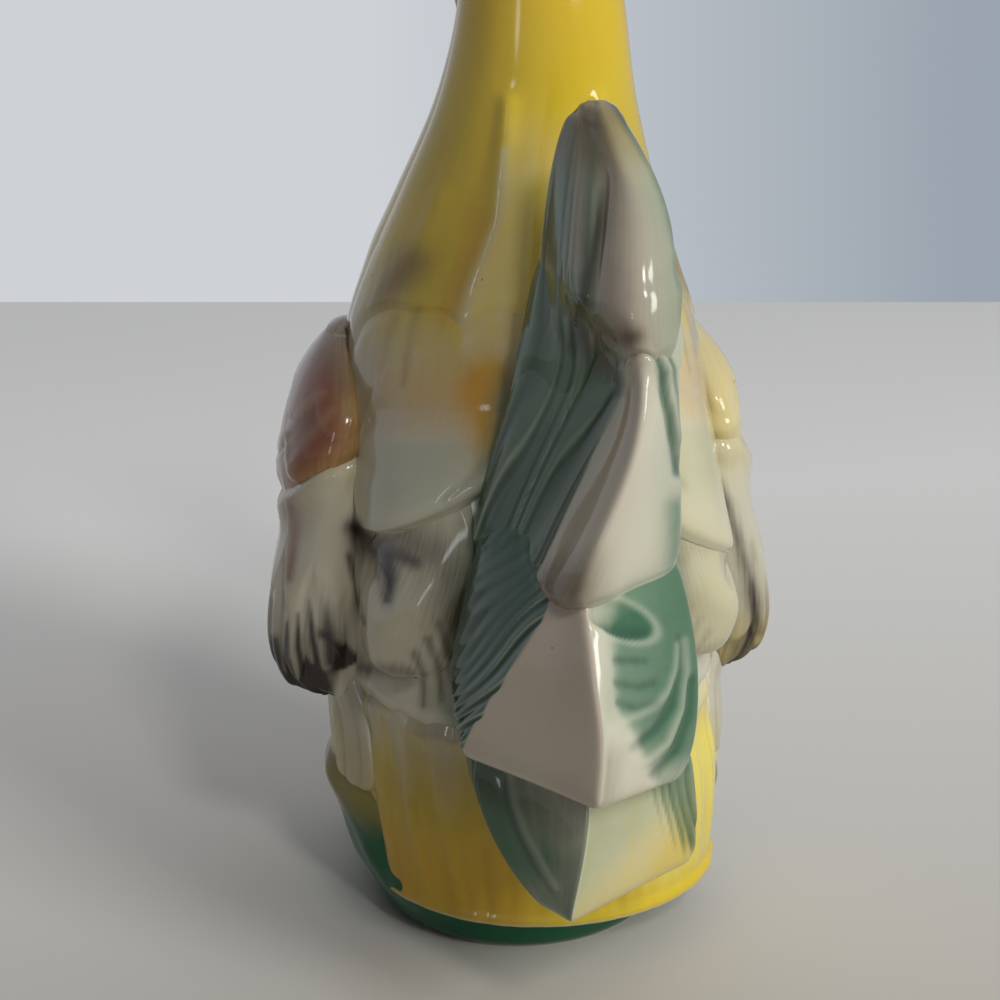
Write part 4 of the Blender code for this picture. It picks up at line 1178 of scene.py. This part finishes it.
# Upper plume
grid, s, t = upper
px, py = sheet(grid)
across, lanes, depth = fan(px, py)
left_wall = ebb(s, 4.6, 5.2) * (s < 6)
on_fan = left_wall * ebb(across, 5.75, 6.25)
rim = px - np.interp(py, *RIGHT_EDGE) - 4.0
facing = step(s, 5.0, 6.0) * ebb(s, 9.6, 10.2)
blade_one = facing * stroke(px, py, [(648, 342), (660, 372), (670, 415), (678, 472)], 4.0, 5.0)
blade_two = facing * stroke(px, py, [(664, 352), (678, 395), (683, 440), (687, 500), (687, 570)], 2.5, 5.0)
crest = facing * stroke(px, py, [(656, 352), (669, 392), (678, 440)], 3.5, 4.0)
patch = facing * stroke(px, py, [(680, 510), (680, 580)], 13.0)
right_lane, right_zone = right_barbs(s, 9.5, 2.5, 9.5, 10.0)
relief = 1.1 * depth * barbs(lanes) * on_fan * step(s, 0.05, 0.4) + 0.45 * barbs(right_lane) * right_zone
grid = raised(grid, relief - 0.6 * blade_one - 0.25 * patch + 0.45 * crest, 3)
# Umber down the valley's lower end, under the top feather: painted shade.
valley_shade = (s < 5.0) * stroke(px, py, [(598, 240), (589, 290), (588, 345)], 15.0, 17.0)
# Umber under the top feather's nose: a painted shadow.
nose_shadow = (s < 8) * stroke(px, py, [(606, 356), (634, 350)], 15.0, 9.0)
left_face = step(across, 6.0, 6.4) * ebb(s, 5.6, 7.4) * (s > 1.5)
paint = fan_paint(px, py, across, lanes, on_fan)
lay(
    paint,
    warm=0.6 * left_face,
    pale_green=0.3 * facing * step(rim, -45, -8) + 0.5 * patch,
    green=0.8 * blade_one + 0.75 * blade_two + 0.45 * patch + 0.85 * step(s, 9.5, 10.0) * (s < 13),
    # umber: dark brown with painted shade at the lower end of the left face, and the painted shade under the
    # nose and down the valley
    umber=left_face * (0.10 * ebb(across, 6.2, 9.0) + 0.7 * step(py, 530, 592)) + 0.75 * nose_shadow + 0.4 * valley_shade,
    deep=0.5 * left_wall * bell(across, 5.5, 0.5) * step(py, 345, 400) + 0.45 * blade_one
    + 0.5 * facing * step(rim, -2, 1),
    fill=step(s, 2.6, 3.2),
)
add(
    "glazed_tail_upper_plume", ["tail_upper_plume"], "tail_green", grid, paint,
    np.stack((s * 4.0 - t * 4.0, t * 3.0), axis=2), low=0.8, high=0.8,
)

# Middle plume: barbs along the left wall, and a leaf-shaped hollow with folds under it on the right face
BARB_ROOT, BARB_WAY = (553.0, 598.0), (-0.53, 0.848)
LEAF_MIDDLE, LEAF_WAY, LEAF_LONG, LEAF_WIDE = (618.0, 619.0), (0.924, 0.383), 40.0, 19.0
grid, s, t = plume(TAIL_MIDDLE, 0.2, 2.2, 1.8)
px, py = sheet(grid)
along, beside = turned(px, py, BARB_ROOT, BARB_WAY)
lane = -beside / 12.0 + along / 50.0 + 0.3 * np.sin(along * 0.045) + 0.25 * np.sin(beside * 0.11)
share = within(lane)
on_wall = (s < 5.2) * np.maximum(ebb(s, 2.2, 2.7), step(beside + 4.0 * share, 0.0, 2.5))
zone = on_wall * step(s, 0.2, 0.8)
facing = step(s, 6.0, 6.6) * ebb(s, 9.6, 10.2)
leaf_u, leaf_v = turned(px, py, LEAF_MIDDLE, LEAF_WAY)
leaf_u, leaf_v = leaf_u / LEAF_LONG, leaf_v / LEAF_WIDE
leaf_r = np.hypot(leaf_u, leaf_v)
leaf = facing * ebb(leaf_r, 0.78, 1.0)
leaf_rim = facing * bell(leaf_r, 1.06, 0.13)
folds = facing * strokes(
    px, py,
    (1.0, [(616, 660), (646, 661)], 4.0),
    (1.0, [(616, 683), (640, 687), (654, 683)], 4.0),
    (1.0, [(617, 703), (638, 709), (656, 704)], 4.0),
)
ridges = facing * strokes(
    px, py,
    (1.0, [(619, 722), (640, 714), (656, 706), (668, 690), (676, 668), (678, 645)], 4.0),
    (1.0, [(646, 762), (668, 742), (682, 708), (686, 672), (684, 640)], 4.0),
)
furrows = facing * strokes(
    px, py,
    (1.0, [(634, 748), (656, 730), (673, 704), (681, 672), (681, 640)], 5.0),
    (1.0, [(654, 776), (676, 752), (689, 714), (691, 680)], 5.0),
)
ridge_strip = facing * stroke(px, py, [(600, 630), (605, 670), (613, 712)], 7.0)
# A raised blob with a painted highlight on it.
blob = facing * stroke(px, py, [(616, 730), (624, 742)], 13.0)
right_lane, right_zone = right_barbs(s, 9.6, 2.4, 9.6, 10.0)
relief = (0.35 + 0.35 * ebb(beside, 10, 40)) * barbs(lane) * zone
relief = relief - 0.6 * leaf * (1 - 0.7 * step(leaf_u, 0.0, 0.9)) + 0.3 * leaf_rim * ebb(leaf_u, 0.2, 0.9)
relief = relief - 0.6 * folds + 0.5 * ridges - 0.6 * furrows + 0.5 * ridge_strip + 0.5 * blob
grid = raised(grid, relief + 0.5 * barbs(right_lane) * right_zone, 3)
border = np.interp(py, (590, 645, 700, 720, 740, 765, 790, 810), (612, 608, 609, 613, 630, 640, 654, 668))
tinted = facing * step(px - border, 0, 16) * (1 - blob) * (1 - 0.55 * step(py, 742, 778))
plain = (1 - on_wall) * (s < 6.2)
add(
    "glazed_tail_middle_plume", ["tail_middle_plume"], "tail_green", grid,
    {
        "warm": 0.95 * plain * (s > 1.5),
        "umber": 0.34 * facing * step(py, 730, 765) * ebb(px, 606, 630),
        "pale_green": 0.7 * tinted + 0.3 * facing * step(px, 596, 612) * ebb(py, 700, 740),
        "green": 0.97 * on_wall + tinted * (0.30 + 0.45 * step(px, 625, 680)) * (1 - 0.7 * ridges)
        + 0.5 * furrows * tinted + leaf * (0.35 + 0.65 * step(leaf_u + 0.5 * leaf_v, -0.5, 0.6))
        + 0.85 * step(s, 9.6, 10.0) * (s < 13),
        "deep": 0.72 * on_wall + 0.3 * seams(lane, 0.2) * zone + 0.45 * folds + 0.3 * furrows
        + 0.5 * leaf * step(leaf_u + leaf_v, 0.0, 1.0) + 0.8 * seams(right_lane, 0.2) * right_zone,
        # pale: painted highlights on the barb edges, on the blob and on the lower lip of the plain face,
        # besides the pale leaf rim and ridges
        "pale": 0.5 * bell(share, 0.70, 0.07) * zone * ebb(beside, 8, 26) + 0.35 * leaf_rim + 0.25 * ridges
        + 0.3 * blob + 0.25 * plain * step(py, 735, 772) * ebb(px, 530, 570),
    },
    np.stack((s * 3.5, t * 3.0), axis=2), low=0.5, high=0.8,
)

# Lower plume: a groove on the left face and a tuft of dark barbs on the right one
grid, s, t = plume(TAIL_LOWER, 0.2, 1.0, 1.4)
px, py = sheet(grid)
left_side = (s < 6.0) * 1.0
lane = s / 2.5 * 4.0
zone = step(s, 0.05, 0.4) * ebb(s, 2.2, 2.6)
facing = step(s, 6.0, 6.4) * ebb(s, 9.6, 10.2)
groove = left_side * stroke(px, py, [(500, 768), (507, 805), (516, 832), (532, 864), (550, 892)], 4.5, 3.0)
crest = left_side * stroke(px, py, [(509, 768), (516, 805), (525, 832), (540, 860), (556, 888)], 4.0, 2.5)
tuft_lane = (px - 0.10 * py + 3.0 * np.sin(py * 0.05)) / 9.0
tuft_edge = px - 650.0 - 0.5 * (py - 790.0) + 7.0 * np.sin(tuft_lane * math.tau)
tuft = facing * step(tuft_edge, -6, 22) * ebb(py, 838, 866)
inked = tuft * seams(tuft_lane, 0.24)
right_lane, right_zone = right_barbs(s, 9.6, 2.4, 9.6, 10.0)
relief = 0.45 * barbs(lane) * zone - 0.35 * groove + 0.25 * crest - 0.4 * inked
grid = raised(grid, relief + 0.45 * barbs(right_lane) * right_zone, 2)
inside = px - np.interp(py, (760, 810, 850, 885, 905, 920), (472, 485, 500, 525, 545, 565))
slant = px + 0.9 * py
add(
    "glazed_tail_lower_plume", ["tail_lower_plume"], "tail_green", grid,
    {
        "warm": 0.7 * left_side * step(inside, 20, 70),
        "yellow": facing * (0.15 + 0.55 * step(slant, 1370, 1450)),
        "pale_green": facing * 0.55 * ebb(slant, 1350, 1440),
        "green": left_side * (0.95 - 0.50 * step(inside, 10, 90) - 0.30 * step(py, 850, 915)) + 0.75 * tuft
        + 0.85 * step(s, 9.6, 10.0) * (s < 13),
        "deep": 0.25 * groove + 0.6 * seams(lane, 0.18) * zone + 0.4 * inked
        + 0.8 * seams(right_lane, 0.2) * right_zone
        + left_side * (0.12 + 0.38 * ebb(inside, 6, 60)) * ebb(py, 800, 900)
        + 0.3 * left_side * bell(inside, 38.0, 16.0) * bell(py, 852.0, 20.0),
        "pale": 0.25 * crest,
        "umber": 0.18 * left_side * ebb(py, 780, 860),
    },
    np.stack((s * 3.5, t * 3.0), axis=2), low=0.5, high=0.8,
)

# Mound with the vent in its underside
MOUND_COUNT = 190
VENT_RADIUS, VENT_RIM, VENT_Y = 6.0, 6.6, -13.0
levels = np.concatenate((np.linspace(0.0, 3.0, 16, endpoint=False), np.linspace(3.0, 37.0, 54)))
grid = ovals(MOUND, levels, MOUND_COUNT)
lumps = ripple(grid, 17.0, 21) + 0.4 * ripple(grid, 7.0, 22)
grid = raised(grid, 0.7 * lumps * step(levels, 2.0, 8.0)[:, None])
turn = turns(MOUND_COUNT)
vent, rim = (
    np.stack((radius * np.cos(turn), radius * np.sin(turn) + VENT_Y, np.zeros(MOUND_COUNT)), axis=1)
    for radius in (VENT_RADIUS, VENT_RIM)
)
under = [vent + np.array((0.0, 0.0, rise)) for rise in (9.0, 6.0, 3.0, 1.2, 0.5)]
under += [rim * (1 - share) + grid[0] * share for share in np.linspace(0.0, 0.96, 14)]
grid = np.concatenate((np.array(under), grid))
z = grid[:, :, 2]
bare = ebb(z, 0.1, 0.6)
bare[: len(under)] = 1.0
add(
    "glazed_base_mound", ["base_mound"], "mound_green", grid,
    {
        "yellow": 0.55 * step(z, 17.0, 25.0),
        "umber": 0.45 * step(z, 15.0, 24.0),
        "deep": 0.5 * ebb(z, 1.0, 7.0),
        "bisque": bare,
    },
    low=0.0, high=0.6,
)

TOE_ROWS, TOE_COUNT, TOE_RINGS = 60, 36, 7
share = np.linspace(0, 1, TOE_ROWS)
turn = turns(TOE_COUNT)[None, :, None]
for sign, word in SIDES:
    for number, path in enumerate(TOES):
        where = np.linspace(0, len(path) + 1, TOE_ROWS)
        centres = spline(path, where, closed=False)
        widths = spline(np.array(TOE_RADII)[:, None], where, closed=False)[:, 0]
        ahead = np.gradient(centres, axis=0)
        ahead /= np.maximum(np.linalg.norm(ahead, axis=1, keepdims=True), 1e-9)
        side = np.cross(ahead, (0.0, 1.0, 0.0))
        side /= np.linalg.norm(side, axis=1, keepdims=True)
        over = np.cross(ahead, side)
        spoke = side[:, None] * np.cos(turn) + over[:, None] * np.sin(turn)
        rings = 0.16 * (np.abs(np.sin(share * math.pi * TOE_RINGS)) - 0.5) * ebb(share, 0.75, 0.85)
        knuckle = 0.35 * bell(share, 0.36, 0.07) + 0.3 * bell(share, 0.62, 0.06)
        grid = centres[:, None] + spoke * (widths + rings + knuckle)[:, None, None]
        claw = step(share, 0.80, 0.86)[:, None]
        groove = (bell((share * TOE_RINGS) % 1.0, 0.0, 0.12) * ebb(share, 0.7, 0.8))[:, None]
        add(
            f"glazed_foot_{word}_toe_{number + 1}", ["foot_" + word], "foot_yellow",
            grid if sign > 0 else mirrored(grid),
            {"dark": 0.75 * claw, "orange": 0.6 * groove + 0.3 * (1 - claw)},
            low=0.3, high=0.3,
        )

# Soft glaze-filled creases: near another piece a surface lifts a little to meet it.
# Each row: some pieces, their neighbours, and how wide the crease between them is.
CREASE = (
    (("tail_sickle",), ("tail_upper_plume",), 3.6),
    (("tail_middle_plume",), ("tail_lower_plume", "tail_upper_plume"), 0.9),
    (("skirt_plumage",), ("base_mound", "tail_lower_plume"), 0.9),
    (("skirt_plumage",), ("body",), 6.0),
    (("neck_hackle",), ("body", "saddle_left", "saddle_right"), 2.6),
    (("body",), ("saddle_left", "saddle_right"), 1.6),
    (("wing_left",), ("wing_bow_left",), 8.0),
    (("wing_right",), ("wing_bow_right",), 8.0),
    (("wing_left", "wing_bow_left"), ("saddle_left", "flank_left"), 4.5),
    (("wing_right", "wing_bow_right"), ("saddle_right", "flank_right"), 4.5),
    (("painted_eye_left", "painted_eye_right"), ("head",), 0.6),
)
OTHER_CREASE = 2.0
FAR = 1e9


def crease_size(a, b):
    """How wide the glaze fills the crease between two pieces."""
    a, b = a.name.replace("glazed_", ""), b.name.replace("glazed_", "")
    for ones, others, size in CREASE:
        if (a in ones and b in others) or (b in ones and a in others):
            return size
    return OTHER_CREASE


def signed_gaps(points, tree, size):
    """How far points lie outside a surface, negative inside, and FAR past the given size."""
    gaps = np.full(len(points), FAR)
    for k, point in enumerate(points):
        spot, normal, _, distance = tree.find_nearest(point, size)
        if spot is not None:
            gaps[k] = distance if (Vector(point) - spot).dot(normal) >= 0 else -distance
    return gaps


trees = [BVHTree.FromPolygons(piece.points().tolist(), piece.faces()) for piece in PIECES]
lifts = []
for piece in PIECES:
    flat = piece.grid.reshape(-1, 3)
    lift = np.zeros(len(flat))
    for other, tree in zip(PIECES, trees):
        if other is piece:
            continue
        size = crease_size(piece, other)
        theirs = other.grid.reshape(-1, 3)
        near = np.all((flat > theirs.min(axis=0) - size) & (flat < theirs.max(axis=0) + size), axis=1)
        which = np.nonzero(near)[0]
        gap = signed_gaps(flat[which], tree, size)
        rise = np.zeros(len(which))
        for _ in range(4):
            rise = size / 4 * np.clip(1 - np.abs(rise - np.abs(gap)) / size, 0, 1) ** 2
        rise[gap < -0.6 * size] = 0.0
        lift[which] = np.maximum(lift[which], rise)
    lifts.append(lift.reshape(piece.grid.shape[:2]) * piece.maps.pop("fill", 1.0))
for piece, lift in zip(PIECES, lifts):
    piece.grid = raised(piece.grid, lift, 1)


def feed(tree, place, value):
    """Link a node's input, or set it. A colour gets its alpha here."""
    if isinstance(value, bpy.types.NodeSocket):
        tree.links.new(value, place)
    else:
        place.default_value = (*value, 1.0) if isinstance(value, tuple) else value


def node(tree, kind, **inputs):
    """Add a node and feed its inputs."""
    made = tree.nodes.new(kind)
    for key, value in inputs.items():
        feed(tree, made.inputs[key.replace("_", " ")], value)
    return made


def noise(tree, place, scale, **inputs):
    """A noise texture's value."""
    return node(tree, "ShaderNodeTexNoise", Vector=place, Scale=scale, **inputs).outputs["Fac"]


def attribute(tree, key, output):
    """Read one of the mesh's own maps."""
    made = tree.nodes.new("ShaderNodeAttribute")
    made.attribute_name = key
    return made.outputs[output]


def sums(tree, operation, a, b, clamp=False):
    """A math node on two values."""
    made = tree.nodes.new("ShaderNodeMath")
    made.operation = operation
    made.use_clamp = clamp
    feed(tree, made.inputs[0], a)
    feed(tree, made.inputs[1], b)
    return made.outputs[0]


def mixed(tree, factor, a, b):
    """Mix two colours."""
    made = tree.nodes.new("ShaderNodeMix")
    made.data_type = "RGBA"
    for place, value in ((0, factor), (6, a), (7, b)):
        feed(tree, made.inputs[place], value)
    return made.outputs[2]


# Paint layers in the order they are sprayed: map, first shade, second shade, broken edge, streaks
LAYERS = (
    ("warm", PINK_CREAM, (0.47, 0.40, 0.32), 0.3, 0.05),
    ("pale_green", PALE_GREEN, (0.24, 0.34, 0.235), 0.5, 0.15),
    ("yellow", YELLOW, (0.70, 0.50, 0.03), 0.5, 0.35),
    ("lemon", LEMON, (0.74, 0.60, 0.14), 0.5, 0.3),
    ("orange", ORANGE, (0.58, 0.33, 0.03), 0.5, 0.4),
    ("red", RED, (0.32, 0.016, 0.012), 0.3, 0.0),
    ("rust", RUST, (0.27, 0.065, 0.014), 0.6, 0.4),
    ("green", GREEN, (0.075, 0.165, 0.095), 0.5, 0.30),
    ("deep", DEEP_GREEN, (0.014, 0.075, 0.045), 0.3, 0.3),
    ("umber", UMBER, (0.15, 0.10, 0.06), 0.4, 0.3),
    ("dark", BLACK, (0.05, 0.035, 0.028), 0.5, 0.6),
    ("pale", PALE, (0.50, 0.54, 0.42), 0.3, 0.2),
    ("bisque", BISQUE, (0.58, 0.52, 0.44), 0.2, 0.0),
)


def sprayed(tree, value, broken, streaks, cloud, streak):
    """A paint map with its half-covered parts broken up by clouds and streaks."""
    thin = sums(tree, "MULTIPLY", value, sums(tree, "SUBTRACT", 1.0, value))
    wave = sums(tree, "MULTIPLY", sums(tree, "SUBTRACT", cloud, 0.5), 4.0 * broken)
    grain = sums(tree, "MULTIPLY", sums(tree, "SUBTRACT", streak, 0.5), 5.0 * streaks)
    shift = sums(tree, "MULTIPLY", thin, sums(tree, "ADD", wave, grain))
    return sums(tree, "ADD", value, shift, clamp=True)


def speckled(tree, place, colour):
    """A colour with a few small iron specks."""
    cells = node(tree, "ShaderNodeTexVoronoi", Vector=place, Scale=330.0)
    pick = node(tree, "ShaderNodeSeparateColor", Color=cells.outputs["Color"])
    rare = sums(tree, "GREATER_THAN", pick.outputs[0], 0.93)
    small = sums(tree, "LESS_THAN", cells.outputs["Distance"], sums(tree, "MULTIPLY", pick.outputs[1], 0.09))
    return mixed(tree, sums(tree, "MULTIPLY", sums(tree, "MULTIPLY", rare, small), 0.7), colour, SPECK)


def glaze(name, base, shade, maps):
    """A clear gloss glaze over sprayed colours, with flow marks, iron specks and a slight orange peel."""
    material = bpy.data.materials.new(name)
    material.use_nodes = True
    tree = material.node_tree
    shader = tree.nodes["Principled BSDF"]
    place = tree.nodes.new("ShaderNodeTexCoord").outputs["Object"]
    flow = attribute(tree, "flow", "Vector")
    cloud = noise(tree, place, 70.0, Detail=4.0, Roughness=0.6)
    mist = noise(tree, place, 520.0, Detail=2.0)
    streak = noise(tree, flow, 1.3, Detail=3.0, Roughness=0.65)
    blend = sums(
        tree, "ADD", sums(tree, "MULTIPLY", streak, 0.6), sums(tree, "MULTIPLY", mist, 0.3), clamp=True
    )
    colour = mixed(tree, cloud, base, shade)
    for key, first, second, broken, streaks in LAYERS:
        if key in maps:
            cover = sprayed(tree, attribute(tree, key, "Fac"), broken, streaks, cloud, streak)
            colour = mixed(tree, cover, colour, mixed(tree, blend, first, second))
    feed(tree, shader.inputs["Base Color"], speckled(tree, place, colour))
    finish = node(
        tree, "ShaderNodeMapRange", Value=cloud, From_Min=0.3, From_Max=0.7, To_Min=0.09, To_Max=0.16
    ).outputs["Result"]
    if "bisque" in maps:
        bare = attribute(tree, "bisque", "Fac")
        finish = sums(tree, "ADD", finish, sums(tree, "MULTIPLY", bare, 0.7), clamp=True)
    feed(tree, shader.inputs["Roughness"], finish)
    peel = noise(tree, place, 230.0, Detail=1.0)
    bump = node(tree, "ShaderNodeBump", Strength=0.12, Distance=0.0004, Height=peel)
    feed(tree, shader.inputs["Normal"], bump.outputs["Normal"])
    shader.inputs["Specular IOR Level"].default_value = 0.3
    shader.inputs["Coat Weight"].default_value = 0.0 if "bisque" in maps else 0.15
    shader.inputs["Coat Roughness"].default_value = 0.04
    return material


# Ground colours under the paint: two shades for each slot
BASES = {
    "mound_green": (MOUND_GREEN, (0.010, 0.13, 0.05)),
    "skirt_yellow": (CREAM, (0.66, 0.60, 0.44)),
    "body_cream": (CREAM, (0.56, 0.53, 0.41)),
    "hackle_yellow": (CREAM, (0.66, 0.60, 0.44)),
    "head_red": (CREAM, (0.66, 0.60, 0.44)),
    "comb_red": (RED, (0.33, 0.016, 0.012)),
    "beak_horn": (HORN, (0.52, 0.32, 0.05)),
    "wing_cream": (CREAM, (0.56, 0.52, 0.40)),
    "wing_bow_rust": (CREAM, (0.66, 0.58, 0.40)),
    "tail_green": (CREAM, (0.57, 0.545, 0.43)),
    "foot_yellow": (YELLOW, (0.66, 0.44, 0.02)),
}
UV_LOW, UV_HIGH = 0.01, 0.99


def unwrapped(rows, count):
    """Corner places for a piece's faces: its rings side by side, with a fan past each end."""
    spots = np.linspace(0, 1, count + 1)
    levels = np.linspace(UV_LOW, UV_HIGH, rows)
    left, right = spots[:-1], spots[1:]
    quads = np.empty((rows - 1, count, 4, 2))
    quads[:, :, 0, 0] = quads[:, :, 3, 0] = left
    quads[:, :, 1, 0] = quads[:, :, 2, 0] = right
    quads[:, :, 0, 1] = quads[:, :, 1, 1] = levels[:-1, None]
    quads[:, :, 2, 1] = quads[:, :, 3, 1] = levels[1:, None]
    middle = (left + right) / 2
    fans = [
        np.stack((a, np.full(count, level), b, np.full(count, level), middle, np.full(count, tip)), axis=1)
        for a, b, level, tip in ((right, left, UV_LOW, 0.0), (left, right, UV_HIGH, 1.0))
    ]
    return np.concatenate((quads.ravel(), fans[0].ravel(), fans[1].ravel())).astype(np.float32)


def build(piece):
    """Make a piece's mesh, paint maps and material, and tie it to the frame."""
    mesh = bpy.data.meshes.new(piece.name)
    mesh.from_pydata((piece.points() * STRETCH).tolist(), [], piece.faces())
    mesh.polygons.foreach_set("use_smooth", np.ones(len(mesh.polygons), bool))
    for key, values in piece.maps.items():
        layer = mesh.attributes.new(key, "FLOAT", "POINT")
        layer.data.foreach_set("value", with_ends(values).astype(np.float32))
    layer = mesh.attributes.new("flow", "FLOAT_VECTOR", "POINT")
    flat = with_ends(piece.flow)
    flat = np.column_stack((flat, np.zeros(len(flat))))
    layer.data.foreach_set("vector", flat.astype(np.float32).ravel())
    uv = mesh.uv_layers.new(name="OFBake")
    uv.data.foreach_set("uv", unwrapped(*piece.grid.shape[:2]))
    mesh.validate()
    mesh.update()
    made = bpy.data.objects.new(piece.name, mesh)
    bpy.context.scene.collection.objects.link(made)
    mesh.materials.append(glaze(piece.name + "_paint", *BASES[piece.slot], piece.maps))
    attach(made, "root")
    if piece.nodes:
        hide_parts(*piece.nodes)


for piece in PIECES:
    build(piece)

# Camera, at the photograph's angle and framing
back = Vector(BACK)
lens = bpy.data.cameras.new("camera")
lens.sensor_width = SENSOR
lens.lens = SHEET_FOCUS * SENSOR / SHEET
lens.clip_start = 0.01
camera = bpy.data.objects.new("camera", lens)
camera.location = Vector(EYE) * M_PER_MM
camera.rotation_mode = "QUATERNION"
camera.rotation_quaternion = (-back).to_track_quat("-Z", "Y")
bpy.context.scene.collection.objects.link(camera)
bpy.context.scene.camera = camera

# Floor: a pale table whose far edge lies behind the figure
FLOOR_FAR, FLOOR_REACH = -0.457, 1.6
flat_back = Vector((back.x, back.y, 0.0)).normalized()
flat_side = Vector((-flat_back.y, flat_back.x, 0.0))
corners = [
    flat_back * deep + flat_side * side for deep, side in (
        (FLOOR_FAR, -FLOOR_REACH), (FLOOR_FAR, FLOOR_REACH),
        (FLOOR_REACH, FLOOR_REACH), (FLOOR_REACH, -FLOOR_REACH),
    )
]
mesh = bpy.data.meshes.new("floor")
mesh.from_pydata([tuple(c) for c in corners], [], [(0, 1, 2, 3)])
floor = bpy.data.objects.new("floor", mesh)
bpy.context.scene.collection.objects.link(floor)
material = bpy.data.materials.new("floor")
material.use_nodes = True
tree = material.node_tree
shader = tree.nodes["Principled BSDF"]
place = tree.nodes.new("ShaderNodeTexCoord").outputs["Object"]
cloud = noise(tree, place, 5.0, Detail=2.0)
# The table grows lighter away from the camera: painted light for the room light on the far table.
deep = node(tree, "ShaderNodeSeparateXYZ", Vector=place).outputs["Y"]
reach = sums(tree, "MULTIPLY", sums(tree, "SUBTRACT", 0.06, deep), 3.6, clamp=True)
tone = mixed(tree, reach, (0.53, 0.50, 0.46), (0.93, 0.92, 0.90))
tone = mixed(tree, sums(tree, "MULTIPLY", cloud, 0.12), tone, (0.70, 0.69, 0.67))
feed(tree, shader.inputs["Base Color"], tone)
shader.inputs["Roughness"].default_value = 0.55
mesh.materials.append(material)
if mesh.polygons[0].normal.z < 0:
    mesh.flip_normals()


def lamp(name, place, aim, power, wide, high, colour):
    """A soft rectangular lamp."""
    light = bpy.data.lights.new(name, "AREA")
    light.shape = "RECTANGLE"
    light.size, light.size_y = wide, high
    light.energy = power
    light.color = colour
    made = bpy.data.objects.new(name, light)
    made.location = place
    made.rotation_mode = "QUATERNION"
    made.rotation_quaternion = (Vector(aim) - Vector(place)).to_track_quat("-Z", "Y")
    bpy.context.scene.collection.objects.link(made)
    return made


lamp("window", (-0.64, 0.79, 0.60), (0.0, 0.0, 0.08), 7.2, 0.30, 0.50, (0.98, 1.0, 0.975))
lamp("high_window", (-0.153, 0.79, 0.79), (0.0, 0.0, 0.06), 2.2, 0.15, 0.15, (1.0, 0.98, 0.95))
glint = lamp("left_window", (0.60, 0.62, 0.22), (0.0, 0.0, 0.08), 0.26, 0.08, 0.18, (0.92, 0.95, 1.0))
glint.visible_diffuse = False

# World: soft room light from above and the right. The camera and reflections see a pale wall instead.
world = bpy.data.worlds.new("room")
bpy.context.scene.world = world
world.use_nodes = True
tree = world.node_tree
shader = tree.nodes["Background"]
paths = tree.nodes.new("ShaderNodeLightPath")
seen = sums(tree, "MAXIMUM", paths.outputs["Is Camera Ray"], paths.outputs["Is Transmission Ray"])
seen = sums(tree, "MAXIMUM", seen, paths.outputs["Is Glossy Ray"])
way = node(
    tree, "ShaderNodeSeparateXYZ", Vector=tree.nodes.new("ShaderNodeTexCoord").outputs["Generated"]
).outputs
side = node(tree, "ShaderNodeMapRange", Value=way["X"], From_Min=-0.38, From_Max=-0.13)
wall = mixed(tree, side.outputs["Result"], (0.33, 0.375, 0.43), (0.62, 0.645, 0.68))
tilt = sums(tree, "SUBTRACT", way["Z"], sums(tree, "MULTIPLY", way["X"], 0.8))
ceiling = sums(tree, "SUBTRACT", tilt, 0.25, clamp=True)
far = sums(tree, "MULTIPLY", way["Y"], -2.0)
dim = sums(tree, "MULTIPLY", sums(tree, "MAXIMUM", way["X"], 0.0), 1.6)
bounce = sums(tree, "SUBTRACT", sums(tree, "SUBTRACT", far, dim), 0.3, clamp=True)
room = sums(tree, "ADD", sums(tree, "MULTIPLY", ceiling, 0.8), bounce, clamp=True)
ambient = mixed(tree, room, (0.018, 0.016, 0.015), (0.60, 0.61, 0.63))
feed(tree, shader.inputs["Color"], mixed(tree, seen, ambient, wall))
shader.inputs["Strength"].default_value = 1.0

bpy.context.scene.view_settings.view_transform = "Standard"
